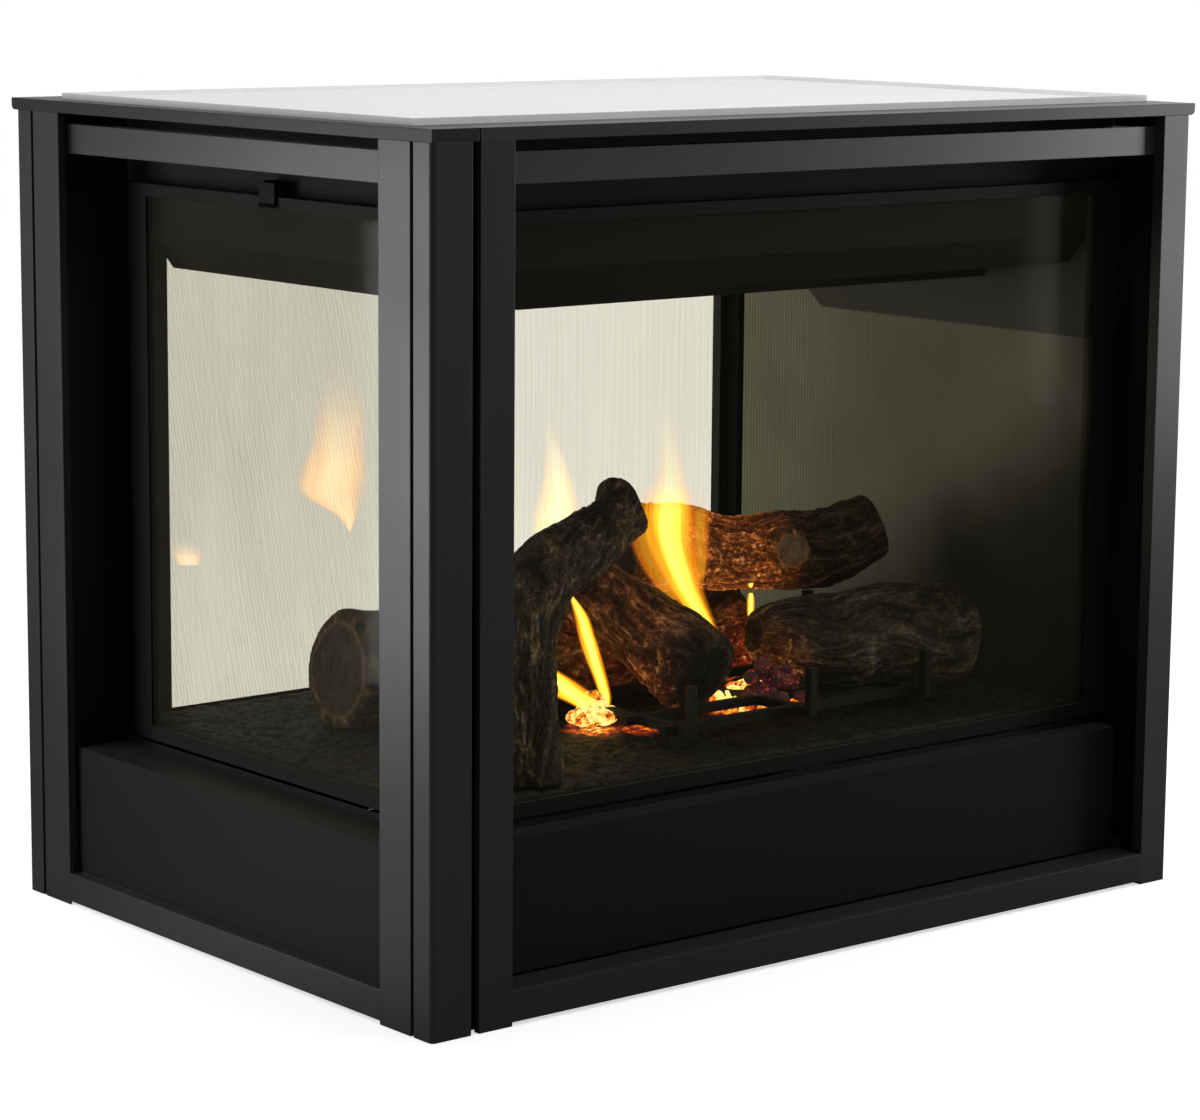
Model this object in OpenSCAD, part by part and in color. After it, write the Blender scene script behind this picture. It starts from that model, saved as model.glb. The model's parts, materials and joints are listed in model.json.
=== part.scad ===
// Three sided gas fireplace: a peninsula unit with a wide front, a narrow left end and a rear face of glass.
// Every face piece is written once in face coordinates (along the face, inward, up) and placed on a face.
// The corner where the front and left faces meet is the corner frame's zero, and place() centres the part.

/* [Overall] */
// Length of the body from the left face to the outside of the solid right end
body_w = 1065; // [1000:5:1200]
// Depth of the body from the front face to the rear face
body_d = 766; // [700:2:860]
// Height from the floor to the top of the cap strips
body_h = 900; // [860:5:1000]
// Thickness of the folded surround sheet
sheet = 2; // [1.5:0.5:3]
// Clearance between pieces that seat on each other without touching
seat_gap = 0.3; // [0.2:0.05:0.5]

/* [Cap] */
// Height of the cap strips
cap_h = 13; // [10:1:18]
// Depth of the cap strip on the front and on the rear
cap_front_depth = 68; // [60:1:80]
// Depth of the cap strip on the left end
cap_left_depth = 30; // [24:1:40]
// Length of the corner tabs of the left cap along the front and the rear
cap_tab = 57; // [54:0.5:58]
// Joint between the corner tab and the long cap strip
cap_joint = 2; // [1:0.5:3]
// How far the caps reach past the right end and past the rear face
cap_overhang = 10; // [4:1:16]
// Radius of the rounded lower corner at the free ends of the caps
cap_round = 6; // [3:0.5:8]
// Thickness of the top cover
cover_t = 2; // [1.5:0.5:3]
// Height of the turned up rim of the top cover
cover_rim = 5; // [3:1:10]
// How far the top cover laps over the caps
cover_lap = 4; // [2:1:10]

/* [Surround] */
// Width of the corner post on the front and on the rear
post_front_w = 49; // [40:1:50]
// Width of the corner post on the left end
post_left_w = 30; // [24:1:32]
// Outer radius of the corner post
post_round = 5; // [3:0.5:8]
// Depth of the short folds that back the posts and stiles
fold = 8; // [6:0.5:8.5]
// Distance from the corner to the stile on the front and on the rear
front_stile_at = 59; // [56:1:62]
// Width of the stile on the front and on the rear
front_stile_w = 42; // [36:1:46]
// Distance from the corner to the stile on the left end
left_stile_at = 35; // [33:1:38]
// Width of the stiles on the left end
left_stile_w = 52; // [44:1:56]
// Width of the posts at the solid right end
right_post_w = 39; // [34:1:46]
// Depth of the fold of the right posts
right_post_fold = 15; // [12:1:18]
// Gap between the jambs behind the stiles and the face of the firebox
jamb_gap = 2; // [1:0.5:16]
// Height of the bottom rails above the floor
rail_clear = 4; // [2:1:8]
// Level of the top of the bottom rails
rail_top = 36; // [32:1:42]
// Depth of the bottom fold of the rails
rail_fold = 7; // [5:0.5:7.5]
// Drop of the lower side of the top bars below the top of the caps
bar_drop = 57; // [50:1:62]
// Distance between the floor bolt holes along the front
bolt_span_x = 900; // [800:5:920]
// Distance between the floor bolt holes from front to rear
bolt_span_y = 560; // [500:5:560]
// Radius of the floor bolt holes
bolt_r = 4.5; // [3:0.25:6]
// Height of the top bars
bar_h = 32; // [24:1:36]
// Depth of the top bars
bar_d = 18; // [12:1:24]
// Setback of the top bar behind the front and rear faces
front_bar_set = 15; // [15:1:24]
// Setback of the top bar behind the left face
left_bar_set = 12; // [8:1:20]

/* [Access panels] */
// Setback of the access panel behind the front and rear faces
front_panel_set = 45; // [30:1:46]
// Setback of the access panel behind the left face
left_panel_set = 12; // [11:1:30]
// Level of the top of the access panels
panel_top = 180; // [160:1:183]
// How far the shelf fold of the access panels reaches under the glass frames
panel_reach = 3; // [0:1:8]
// Gap between the bottom rail and the access panels
panel_lift = 2; // [1.5:0.25:3]
// Gap between an access panel and the jamb beside it
panel_side_gap = 3; // [2.5:0.25:4]
// Radius of the access panel hinge pins
panel_pin_r = 2.5; // [2:0.25:3]
// Radial clearance of every pin and shaft in its bore
running_fit = 0.05; // [0.02:0.01:0.09]
// Thickness of the hinge bracket plates
bracket_t = 2; // [1.5:0.25:2]

/* [Glass] */
// Setback of the glass frames behind every glazed face
glass_set = 75; // [75:1:90]
// Depth of the glass frames
frame_d = 15; // [12:1:20]
// Distance from the open corners to the glass frames
frame_inset = 108; // [104:1:112]
// Width of the glass frame stiles
frame_stile = 36; // [30:1:40]
// Height of the glass frame top rail
frame_top_rail = 14; // [12:1:24]
// Height of the glass frame bottom rail
frame_bottom_rail = 16; // [12:1:22]
// Level of the underside of the glass frames
frame_bottom = 190; // [188:1:196]
// Drop of the top of the glass frames below the top of the caps
frame_drop = 89; // [85:1:110]
// Thickness of the ceramic glass
glass_t = 5; // [4:0.5:6]
// Width of the gasket rope
gasket_w = 10; // [8:1:12]

/* [Latches] */
// Width of the latch handle
latch_w = 28; // [26:1:40]
// Height of the latch pivot above the glass frame
latch_rise = 12; // [11:1:18]
// Radius of the latch pin
latch_pin_r = 2.5; // [2:0.25:3]
// How far the latch hook laps over the glass frame
latch_lap = 7; // [6:1:12]
// Gap between the latch hook and the glass frame
latch_gap = 0.4; // [0.3:0.1:1]
// Thickness of the latch plate and of its ears
latch_t = 3; // [2.5:0.5:4]
// Height of the pull tab of the latch
latch_tab = 5; // [4.4:0.2:9]

/* [Firebox] */
// Thickness of the firebox sheet
box_t = 2; // [1.5:0.5:3]
// Width of each leg of the firebox corner posts
box_leg = 45; // [42:1:50]
// Distance from the end liner to the outside of the solid end
end_depth = 65; // [60:1:90]
// Distance from the casing jamb to the outside of the solid end
casing_jamb = 25; // [20:1:30]
// Level of the underside of the firebox floor
floor_z = 186; // [184:1:190]
// Thickness of the firebox floor and of the firebox roof
floor_t = 3; // [2:0.5:4]
// Height of the turned up sill round the firebox floor
sill_h = 18; // [14:1:22]
// Height of the upright band of the headers
header_band = 58; // [40:1:64]
// Drop of the sloping lip of the headers
header_drop = 34; // [20:1:40]
// Reach of the sloping lip of the headers
header_reach = 26; // [16:1:36]
// Distance from the left face to the baffle
baffle_left = 300; // [260:5:400]
// Depth of the baffle from front to rear
baffle_d = 266; // [200:2:300]
// Setback of the upstand on the roof behind the face of the firebox
upstand_set = 2; // [1:1:40]
// Drop of the baffle below the roof
baffle_drop = 118; // [100:1:130]
// Height of the folded edge of the baffle
baffle_edge = 36; // [20:1:50]

/* [Vent] */
// Outer radius of the exhaust collar
exhaust_r = 51; // [45:0.5:55]
// Outer radius of the air intake collar
intake_r = 84; // [78:0.5:90]
// Wall of both collars
collar_t = 1; // [0.8:0.1:1.5]
// Length of both collars outside the casing
collar_len = 50; // [40:1:70]
// Drop of the collar centre below the firebox roof
vent_drop = 56; // [56:1:60]

/* [Burner and logs] */
// Height of the burner tray
tray_h = 11; // [9:1:14]
// Distance from the burner tray to the firebox walls
tray_margin = 8; // [6:1:20]
// Radius of the burner ports
port_r = 2.5; // [2:0.25:4]
// Distance between the burner ports
port_pitch = 80; // [50:5:90]
// Lowest depth of the ember bed
bed_t = 6; // [4:1:9]
// Height of the stones of the ember bed above its lowest level
bed_bump = 7; // [3:1:12]
// Gap between the ember bed and the firebox walls
bed_margin = 4; // [3:1:10]
// Level of the top of the grate bars above the ember bed
grate_rise = 26; // [20:1:34]
// Side of the square grate bars
grate_bar = 10; // [8:1:12]
// Distance between the cross bars of the grate
grate_pitch = 177; // [150:1:190]
// Height of the upright ends of the grate bars
grate_prong = 46; // [30:1:60]
// Height of the bark ridges as a share of the log radius
bark = 0.07; // [0:0.01:0.12]

/* [Controls] */
// Width of the gas valve block
valve_w = 112; // [96:1:130]
// Depth of the gas valve block
valve_d = 60; // [50:1:70]
// Height of the gas valve block
valve_h = 52; // [44:1:60]
// Level of the valve centre line above the base pan
valve_z = 92; // [80:1:110]
// Radius of the valve stem
stem_r = 4; // [3:0.25:5]
// Travel of the valve stem when it is pressed
stem_push = 3; // [2:0.5:4]
// Radius of the gas control knob
knob_r = 19; // [16:0.5:22]
// Radius of the flame height knob
flame_knob_r = 15; // [12:0.5:17]
// Depth of both knobs
knob_d = 16; // [12:1:20]
// Radius of the igniter button
button_r = 8; // [6:0.5:9]
// Travel of the igniter button
button_push = 5; // [3:0.5:6]
// Outer radius of the gas pipe
pipe_r = 9.5; // [8:0.5:11]
// Bore radius of the gas pipe
pipe_bore = 7; // [5:0.5:7.5]
// Length of the shut off handle
handle_len = 46; // [36:1:60]
// Outer radius of the gas inlet socket
inlet_r = 13; // [11:0.5:15]
// Bore radius of the gas inlet socket
inlet_bore = 9.3; // [8:0.1:10]
// Depth of the bore of the gas inlet socket
inlet_depth = 15; // [12:0.5:20]
// Radius of the wiring knockout in the casing
knockout_r = 11; // [9:0.5:14]

/* [Hidden] */
$fn = 48;

total_w = body_w + collar_len;
total_d = body_d + cap_overhang;
cap_under = body_h - cap_h;
bar_bottom = body_h - bar_drop;
frame_top = body_h - frame_drop;
eps = 0.01;

// Places that follow from the sizes above
front_s0 = front_stile_at + front_stile_w;
front_s1 = body_w - right_post_w;
left_s0 = left_stile_at + left_stile_w;
left_s1 = body_d - left_s0;
casing_u = body_w - casing_jamb;
liner_u = body_w - end_depth;
base_edge = fold + 1;
box_face = glass_set + frame_d;
jamb_depth = box_face - jamb_gap;
box_in = box_face + box_t;
box_rear = body_d - box_in;
front_frame_end = casing_u - 3;
left_frame_end = body_d - frame_inset;
roof_z = frame_top - floor_t;
header_z = roof_z - header_band;
panel_bottom = rail_top + panel_lift;
pin_in = 4;
panel_axis_z = panel_bottom + pin_in;
latch_z = frame_top + latch_rise;
latch_r = glass_set + 5;
vent_z = roof_z - vent_drop;
vent_v = body_d / 2;
tray_z = floor_z + floor_t;
bed_z = tray_z + tray_h;
bed_low = bed_z + bed_t;
grate_top = bed_low + grate_rise;
log_seat = grate_top + seat_gap;
bed_u0 = box_in + bed_margin;
bed_u1 = liner_u - bed_margin;
bed_v0 = box_in + bed_margin;
bed_v1 = body_d - bed_v0;

// The log set is drawn for a bed of this length, counted from the bed's near corner, and grows with the bed
drawn_bed = 900;
log_k = (bed_u1 - bed_u0) / drawn_bed;
back_seat = bed_low + 112 * log_k;
grate_u = bed_u0 + 372 * log_k;
grate_v = [for (v = [84, 149, 284]) bed_v0 + v * log_k];
back_post = [grate_u + 2 * grate_pitch, bed_v0 + 260 * log_k];
trunk_foot = [bed_u0 + 140 * log_k, bed_v0 + 46 * log_k];
pilot_at = [bed_u0 + 304 * log_k, bed_v0 + 494 * log_k];
left_log_line = [for (p = [[128, 378], [684, 358]]) [bed_u0 + p.x * log_k, bed_v0 + p.y * log_k]];
trunk_pad = 44 * log_k;
log_pad = 60 * log_k;
load_u = bed_u0 + 440 * log_k;
pilot_pad = 26;
control_u = 560;
control_v = 150;
valve_at = sheet + valve_z;
tube_bend = 24;
knob_back = control_v - 9;
stem_bore = 24;
stem_grip = 12;
gas_knob_u = control_u - 28;
flame_knob_u = control_u + 28;
button_u = control_u + valve_w / 2 + 26;
plate_t = 3;
housing_end = control_v + 18;
stop_u = control_u + 210;
stop_face = 35;
front_latch_s = frame_inset + 28;
left_latch_s = body_d / 2;

// Small details that do not change with the product size
pan_gap = 4;
lip_gap = 4;
panel_end = 12;
pin_end_gap = 0.5;
bracket_half = 10;
bracket_over = 6;
tab_angle = 30;
ear_foot = 14;
ear_over = 4;
ear_front = 3;
strap_w = 24;
strap_in = 40;
bead_at = 12;
bead_w = 2;
bead_rise = 1.5;
collar_flange = 12;
web_len = 7;
port_start = 360;
port_rows = 7;
prong_at = 30;
bar_end = 20;
log_sides = 20;
log_steps = 5;
stub_sides = 14;
stub_steps = 2;
free = 2000;
bark_brown = [0.2, 0.15, 0.1];
floor_hole = [control_u - valve_w / 2 - tube_bend - 16, control_v + valve_d / 2];
pipe_v = control_v + valve_d / 2;

// Sends the corner frame to the part's own frame, with the origin under the middle of the whole box
module place() {
  translate([-total_w / 2, -total_d / 2, 0]) children();
}

// Face coordinates: x along the face, y inward from it
module on_front() {
  place() children();
}

module on_left() {
  place() mirror([1, -1, 0]) children();
}

module on_rear() {
  place() translate([0, body_d, 0]) mirror([0, 1, 0]) children();
}

// A block given by its low and high corners
module block(lo, hi) {
  translate(lo) cube(hi - lo);
}

// A cylinder along the inward direction of a face, from r0 to r1
module inward_rod(s, z, r0, r1, radius) {
  translate([s, r0, z]) rotate([-90, 0, 0]) cylinder(h = r1 - r0, r = radius);
}

// A cylinder along a face, from s0 to s1
module along_rod(r, z, s0, s1, radius) {
  translate([s0, r, z]) rotate([0, 90, 0]) cylinder(h = s1 - s0, r = radius);
}

// Base pan: a floor sheet with four floor bolt holes and a turned up flange under each rail
module base_pan() color("dimgray") place() {
  v0 = right_post_fold;
  v1 = body_d - right_post_fold;
  flange_top = rail_top - sheet;
  difference() {
    block([base_edge, v0, 0], [body_w, v1, sheet]);
    for (u = [-1, 1])
      for (v = [-1, 1])
        translate([total_w / 2 + u * bolt_span_x / 2, total_d / 2 + v * bolt_span_y / 2, -1])
          cylinder(h = sheet + 2, r = bolt_r);
  }
  for (v = [v0, v1 - sheet])
    block([front_s0 + pan_gap, v, sheet - eps], [front_s1 - pan_gap, v + sheet, flange_top]);
  block([base_edge, left_s0 + pan_gap, sheet - eps], [base_edge + sheet, left_s1 - pan_gap, flange_top]);
}

// Corner post: a folded angle with a rounded outer corner and a short fold at each leg
module corner_post() color([0.16, 0.16, 0.17]) {
  linear_extrude(cap_under) {
    translate([post_round, 0]) square([post_front_w - post_round, sheet]);
    translate([0, post_round]) square([sheet, post_left_w - post_round]);
    translate([post_front_w - sheet, 0]) square([sheet, fold]);
    translate([0, post_left_w - sheet]) square([fold, sheet]);
    translate([post_round, post_round]) intersection() {
      difference() {
        circle(post_round);
        circle(post_round - sheet);
      }
      translate([-post_round, -post_round]) square(post_round + eps);
    }
  }
}

module front_left_post() on_front() corner_post();
module rear_left_post() on_rear() corner_post();

// Post of the solid end: a channel whose folds stop against the casing
module right_post() color([0.2, 0.2, 0.21]) {
  linear_extrude(cap_under) {
    translate([front_s1, 0]) square([right_post_w, sheet]);
    translate([front_s1, 0]) square([sheet, right_post_fold]);
    translate([body_w - sheet, 0]) square([sheet, right_post_fold]);
  }
}

module front_right_post() on_front() right_post();
module rear_right_post() on_rear() right_post();

// Stile: a face strip with a short fold on the corner side and a deep jamb on the glass side
module stile(at, width) color([0.24, 0.24, 0.25]) {
  linear_extrude(cap_under) {
    translate([at, 0]) square([width, sheet]);
    translate([at, 0]) square([sheet, fold]);
  }
  translate([0, 0, rail_top + seat_gap]) linear_extrude(cap_under - rail_top - seat_gap)
    translate([at + width - sheet, sheet - eps]) square([sheet, jamb_depth - sheet]);
}

module front_stile() on_front() stile(front_stile_at, front_stile_w);
module rear_stile() on_rear() stile(front_stile_at, front_stile_w);
module left_front_stile() on_left() stile(left_stile_at, left_stile_w);
module left_rear_stile() on_left() translate([body_d, 0, 0]) mirror([1, 0, 0]) stile(left_stile_at, left_stile_w);

// Rounds the lower corner of a cap at its end x = s
module cap_end_round(s, depth0, depth1, side) {
  difference() {
    translate([min(s, s - side * cap_round), depth0 - 1, cap_under - 1])
      cube([cap_round + eps, depth1 - depth0 + 2, cap_round + 1]);
    translate([s - side * cap_round, depth0 - 2, cap_under + cap_round]) rotate([-90, 0, 0])
      cylinder(h = depth1 - depth0 + 4, r = cap_round);
  }
}

// Long cap strip of the front or rear: a shallow channel open below, with its end lip rounded
module long_cap(reach) color([0.3, 0.3, 0.31]) {
  s0 = cap_tab + cap_joint;
  s1 = body_w + cap_overhang;
  r0 = -reach;
  r1 = cap_front_depth - reach;
  difference() {
    block([s0, r0, cap_under], [s1, r1, body_h]);
    block([s0 + sheet, r0 + sheet, cap_under - 1], [s1 - cap_round, r1 - sheet, body_h - sheet]);
    cap_end_round(s1, r0, r1, 1);
  }
}

module front_cap() on_front() long_cap(0);
module rear_cap() on_rear() long_cap(cap_overhang);

// Cap outline of the left end in plan, drawn in by a margin
function left_cap_outline(m) = [
  [m, m], [cap_tab - m, m], [cap_tab - m, cap_front_depth - m], [cap_left_depth - m, cap_front_depth - m],
  [cap_left_depth - m, total_d - cap_front_depth + m], [cap_tab - m, total_d - cap_front_depth + m],
  [cap_tab - m, total_d - m], [m, total_d - m]
];

// Left cap with a tab at each corner, a shallow channel open below
module left_cap() color([0.3, 0.3, 0.31]) place() difference() {
  translate([0, 0, cap_under]) linear_extrude(cap_h) polygon(left_cap_outline(0));
  translate([0, 0, cap_under - 1]) linear_extrude(cap_h + 1 - sheet) intersection() {
    polygon(left_cap_outline(sheet));
    square([body_w, total_d - cap_round]);
  }
  translate([0, total_d, 0]) rotate([0, 0, -90]) mirror([1, 0, 0]) cap_end_round(0, 0, cap_tab, 1);
}

// Top cover: a flat sheet that lies on the inner edges of the caps, with a turned up rim
module top_cover() color([0.8, 0.81, 0.82]) place() {
  u0 = cap_left_depth - cover_lap;
  u1 = body_w;
  v0 = cap_front_depth - cover_lap;
  v1 = total_d - cap_front_depth + cover_lap;
  difference() {
    block([u0, v0, body_h], [u1, v1, body_h + cover_t + cover_rim]);
    block([u0 + cover_t, v0 + cover_t, body_h + cover_t], [u1 - cover_t, v1 - cover_t, body_h + cover_t + cover_rim + 1]);
  }
}

// Top bar: a channel that opens inward
module top_bar(s0, s1, set) color([0.27, 0.27, 0.28]) difference() {
  block([s0, set, bar_bottom], [s1, set + bar_d, bar_bottom + bar_h]);
  block([s0 - 1, set + sheet, bar_bottom + sheet], [s1 + 1, set + bar_d + 1, bar_bottom + bar_h - sheet]);
}

module front_bar() on_front() top_bar(front_s0, casing_u, front_bar_set);
module rear_bar() on_rear() top_bar(front_s0, casing_u, front_bar_set);
module left_bar() on_left() top_bar(left_s0, left_s1, left_bar_set);

// Bottom rail: face, deep ledge on top and a short fold below
module rail(s0, s1, ledge) color([0.22, 0.22, 0.23]) translate([s0, 0, 0]) rotate([90, 0, 90])
  linear_extrude(s1 - s0) {
    translate([0, rail_clear]) square([sheet, rail_top - rail_clear]);
    translate([0, rail_top - sheet]) square([ledge, sheet]);
    translate([0, rail_clear]) square([rail_fold, sheet]);
  }

module front_rail() on_front() rail(front_s0, front_s1, front_panel_set - 1);
module rear_rail() on_rear() rail(front_s0, front_s1, front_panel_set - 1);
module left_rail() on_left() rail(left_s0, left_s1, left_panel_set - 1);

// Access panel: a folded tray whose pins turn in the brackets near its lower edge
module access_panel(s0, s1, set) color([0.1, 0.1, 0.1]) {
  a = s0 + panel_side_gap;
  b = s1 - panel_side_gap;
  shelf = glass_set + panel_reach - set;
  translate([a, 0, 0]) rotate([90, 0, 90]) linear_extrude(b - a) {
    translate([set, panel_bottom]) square([sheet, panel_top - panel_bottom]);
    translate([set, panel_top - sheet]) square([shelf, sheet]);
    translate([set + shelf - sheet, panel_top - sheet]) square([sheet, frame_bottom - lip_gap - panel_top + sheet]);
  }
  for (s = [a, b - sheet])
    block([s, set + sheet - eps, panel_bottom], [s + sheet, set + panel_end, panel_top - sheet + eps]);
  along_rod(set + pin_in, panel_axis_z, s0 + pin_end_gap, a + sheet, panel_pin_r);
  along_rod(set + pin_in, panel_axis_z, b - sheet, s1 - pin_end_gap, panel_pin_r);
}

module front_panel() on_front() access_panel(front_s0, front_s1, front_panel_set);
module rear_panel() on_rear() access_panel(front_s0, front_s1, front_panel_set);
module left_panel() on_left() access_panel(left_s0, left_s1, left_panel_set);

// One hinge bracket that stands on a rail ledge, with a bore for the panel pin
module panel_bracket(s, set) difference() {
  block([s, set - bracket_half, rail_top], [s + bracket_t, set + bracket_half, panel_axis_z + bracket_over]);
  along_rod(set + pin_in, panel_axis_z, s - 1, s + bracket_t + 1, panel_pin_r + running_fit);
}

module panel_brackets() color("gray") {
  on_front() for (s = [front_s0, front_s1 - bracket_t]) panel_bracket(s, front_panel_set);
  on_rear() for (s = [front_s0, front_s1 - bracket_t]) panel_bracket(s, front_panel_set);
  on_left() for (s = [left_s0, left_s1 - bracket_t]) panel_bracket(s, left_panel_set);
}

// Glass frame: a face flange round the opening and a rim that reaches back to the firebox
module glass_frame(s0, s1) color([0.09, 0.09, 0.09]) {
  rim_end = box_face - seat_gap;
  difference() {
    block([s0, glass_set, frame_bottom], [s1, rim_end, frame_top]);
    block([s0 + sheet, glass_set + sheet, frame_bottom + sheet], [s1 - sheet, rim_end + 1, frame_top - sheet]);
    block([s0 + frame_stile, glass_set - 1, frame_bottom + frame_bottom_rail],
      [s1 - frame_stile, glass_set + sheet + 1, frame_top - frame_top_rail]);
  }
}

module front_glass_frame() on_front() glass_frame(frame_inset, front_frame_end);
module rear_glass_frame() on_rear() glass_frame(frame_inset, front_frame_end);
module left_glass_frame() on_left() glass_frame(frame_inset, left_frame_end);

// Glass pane that stands in its frame against the face flange
module pane(s0, s1) color([0.75, 0.8, 0.8, 0.3]) {
  m = sheet + seat_gap;
  block([s0 + m, glass_set + sheet, frame_bottom + m], [s1 - m, glass_set + sheet + glass_t, frame_top - m]);
}

module front_glass() on_front() pane(frame_inset, front_frame_end);
module rear_glass() on_rear() pane(frame_inset, front_frame_end);
module left_glass() on_left() pane(frame_inset, left_frame_end);

// Gasket ring between a pane and the face of the firebox
module gasket(s0, s1) {
  m = sheet + 1;
  r0 = glass_set + sheet + glass_t;
  difference() {
    block([s0 + m, r0, frame_bottom + m], [s1 - m, box_face, frame_top - m]);
    block([s0 + m + gasket_w, r0 - 1, frame_bottom + m + gasket_w],
      [s1 - m - gasket_w, box_face + 1, frame_top - m - gasket_w]);
  }
}

module glass_gaskets() color([0.3, 0.3, 0.28]) {
  on_front() gasket(frame_inset, front_frame_end);
  on_rear() gasket(frame_inset, front_frame_end);
  on_left() gasket(frame_inset, left_frame_end);
}

// Latch: a handle on a pin, whose hook laps the face of the glass frame
module latch(s) color("silver") {
  hook_r = glass_set - latch_gap - latch_t;
  half = latch_w / 2;
  block([s - half, hook_r, frame_top - latch_lap], [s + half, hook_r + latch_t, latch_z + latch_pin_r]);
  block([s - half + latch_t + 1, hook_r + latch_t - eps, latch_z - latch_pin_r],
    [s + half - latch_t - 1, latch_r, latch_z + latch_pin_r]);
  along_rod(latch_r, latch_z, s - half, s + half, latch_pin_r);
  translate([s - half, hook_r, frame_top - latch_lap]) rotate([-tab_angle, 0, 0])
    translate([0, 0, 0.6 - latch_tab]) cube([latch_w, sheet, latch_tab]);
}

module front_latch() on_front() latch(front_latch_s);
module rear_latch() on_rear() latch(front_latch_s);
module left_latch() on_left() latch(left_latch_s);

// Pair of ears that stand on the firebox roof and carry a latch pin
module latch_ears(s) {
  half = latch_w / 2;
  foot = box_face + ear_foot;
  for (side = [-1, 1]) {
    a = s + side * (half - latch_t / 2);
    difference() {
      union() {
        block([a - latch_t / 2, latch_r - ear_front, frame_top + 1], [a + latch_t / 2, foot, latch_z + ear_over]);
        block([a - latch_t / 2, box_face, frame_top - eps], [a + latch_t / 2, foot, frame_top + sheet]);
      }
      along_rod(latch_r, latch_z, a - latch_t, a + latch_t, latch_pin_r + running_fit);
    }
  }
}

// Firebox roof with the latch ears, and the upstand that closes the air space and carries the top cover
module firebox_roof() color([0.25, 0.25, 0.25]) {
  in = box_face + upstand_set;
  place() {
    block([box_face, box_face, roof_z], [casing_u, body_d - box_face, frame_top]);
    difference() {
      block([in, in, frame_top - eps], [casing_u, body_d - in, body_h]);
      block([in + box_t, in + box_t, frame_top - 1], [casing_u + 1, body_d - in - box_t, body_h + 1]);
    }
  }
  on_front() latch_ears(front_latch_s);
  on_rear() latch_ears(front_latch_s);
  on_left() latch_ears(left_latch_s);
}

// Firebox floor with a turned up sill along its three glazed sides
module firebox_floor() color([0.13, 0.13, 0.13]) place() difference() {
  union() {
    block([box_in, box_in, floor_z], [liner_u, box_rear, tray_z]);
    for (v = [box_face, box_rear])
      block([box_face + box_leg, v, floor_z], [liner_u, v + box_t, floor_z + sill_h]);
    block([box_face, box_face + box_leg, floor_z], [box_in, body_d - box_face - box_leg, floor_z + sill_h]);
  }
  translate([floor_hole.x, floor_hole.y, floor_z - 1]) cylinder(h = floor_t + 2, r = pipe_r + seat_gap);
}

// Firebox corner posts: angles that stand on the base pan and carry the roof
module firebox_corners() color([0.2, 0.2, 0.2]) {
  for (rear = [false, true]) {
    place() translate([0, rear ? body_d : 0, 0]) mirror([0, rear ? 1 : 0, 0])
      translate([box_face, box_face, sheet]) linear_extrude(roof_z - sheet) {
        square([box_leg, box_t]);
        square([box_t, box_leg]);
      }
  }
}

// End liner: the inner wall of the solid end, with a hole for the exhaust
module end_liner() color([0.12, 0.12, 0.11]) place() difference() {
  union() {
    block([liner_u, box_face, floor_z], [liner_u + box_t, body_d - box_face, roof_z]);
    for (v = [box_face, box_rear])
      block([liner_u, v, floor_z], [casing_u, v + box_t, roof_z]);
  }
  along_rod(vent_v, vent_z, liner_u - 1, liner_u + box_t + 1, exhaust_r + seat_gap);
}

// Header: an upright band behind the glass and a lip that slopes into the firebox
module header(s0, s1) color([0.14, 0.14, 0.15]) translate([s0, 0, 0]) rotate([90, 0, 90])
  linear_extrude(s1 - s0) polygon([
    [box_face, roof_z], [box_in, roof_z], [box_in, header_z], [box_in + header_reach, header_z - header_drop],
    [box_face + header_reach, header_z - header_drop], [box_face, header_z]
  ]);

module front_header() on_front() header(box_face + box_leg, liner_u);
module rear_header() on_rear() header(box_face + box_leg, liner_u);
module left_header() on_left() header(box_face + box_leg, body_d - box_face - box_leg);

// Baffle: a shallow tray that hangs from the roof by four straps in front of the exhaust
module baffle() color([0.18, 0.18, 0.18]) place() {
  z = roof_z - baffle_drop;
  v0 = body_d / 2 - baffle_d / 2;
  v1 = body_d / 2 + baffle_d / 2;
  u1 = liner_u - seat_gap;
  difference() {
    block([baffle_left, v0, z], [u1, v1, z + baffle_edge]);
    block([baffle_left + box_t, v0 + box_t, z + box_t], [u1 + 1, v1 - box_t, z + baffle_edge + 1]);
  }
  for (u = [baffle_left + strap_in, u1 - strap_in - strap_w])
    for (v = [v0, v1 - box_t])
      block([u, v, z + baffle_edge - eps], [u + strap_w, v + box_t, roof_z]);
}

// End casing: the outer wall of the solid end, folded back along the jambs, with its vent and service holes
module end_casing() color([0.7, 0.71, 0.72]) place() difference() {
  translate([0, 0, sheet]) linear_extrude(cap_under - sheet) {
    translate([body_w - sheet, right_post_fold]) square([sheet, body_d - 2 * right_post_fold]);
    for (v = [right_post_fold, body_d - right_post_fold - sheet])
      translate([casing_u, v]) square([casing_jamb, sheet]);
    for (v = [right_post_fold, body_d - box_face])
      translate([casing_u, v]) square([sheet, box_face - right_post_fold]);
  }
  along_rod(vent_v, vent_z, body_w - sheet - 1, body_w + 1, intake_r - collar_t);
  along_rod(pipe_v, valve_at, body_w - sheet - 1, body_w + 1, inlet_r + seat_gap);
  along_rod(body_d - pipe_v, valve_at, body_w - sheet - 1, body_w + 1, knockout_r);
}

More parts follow.
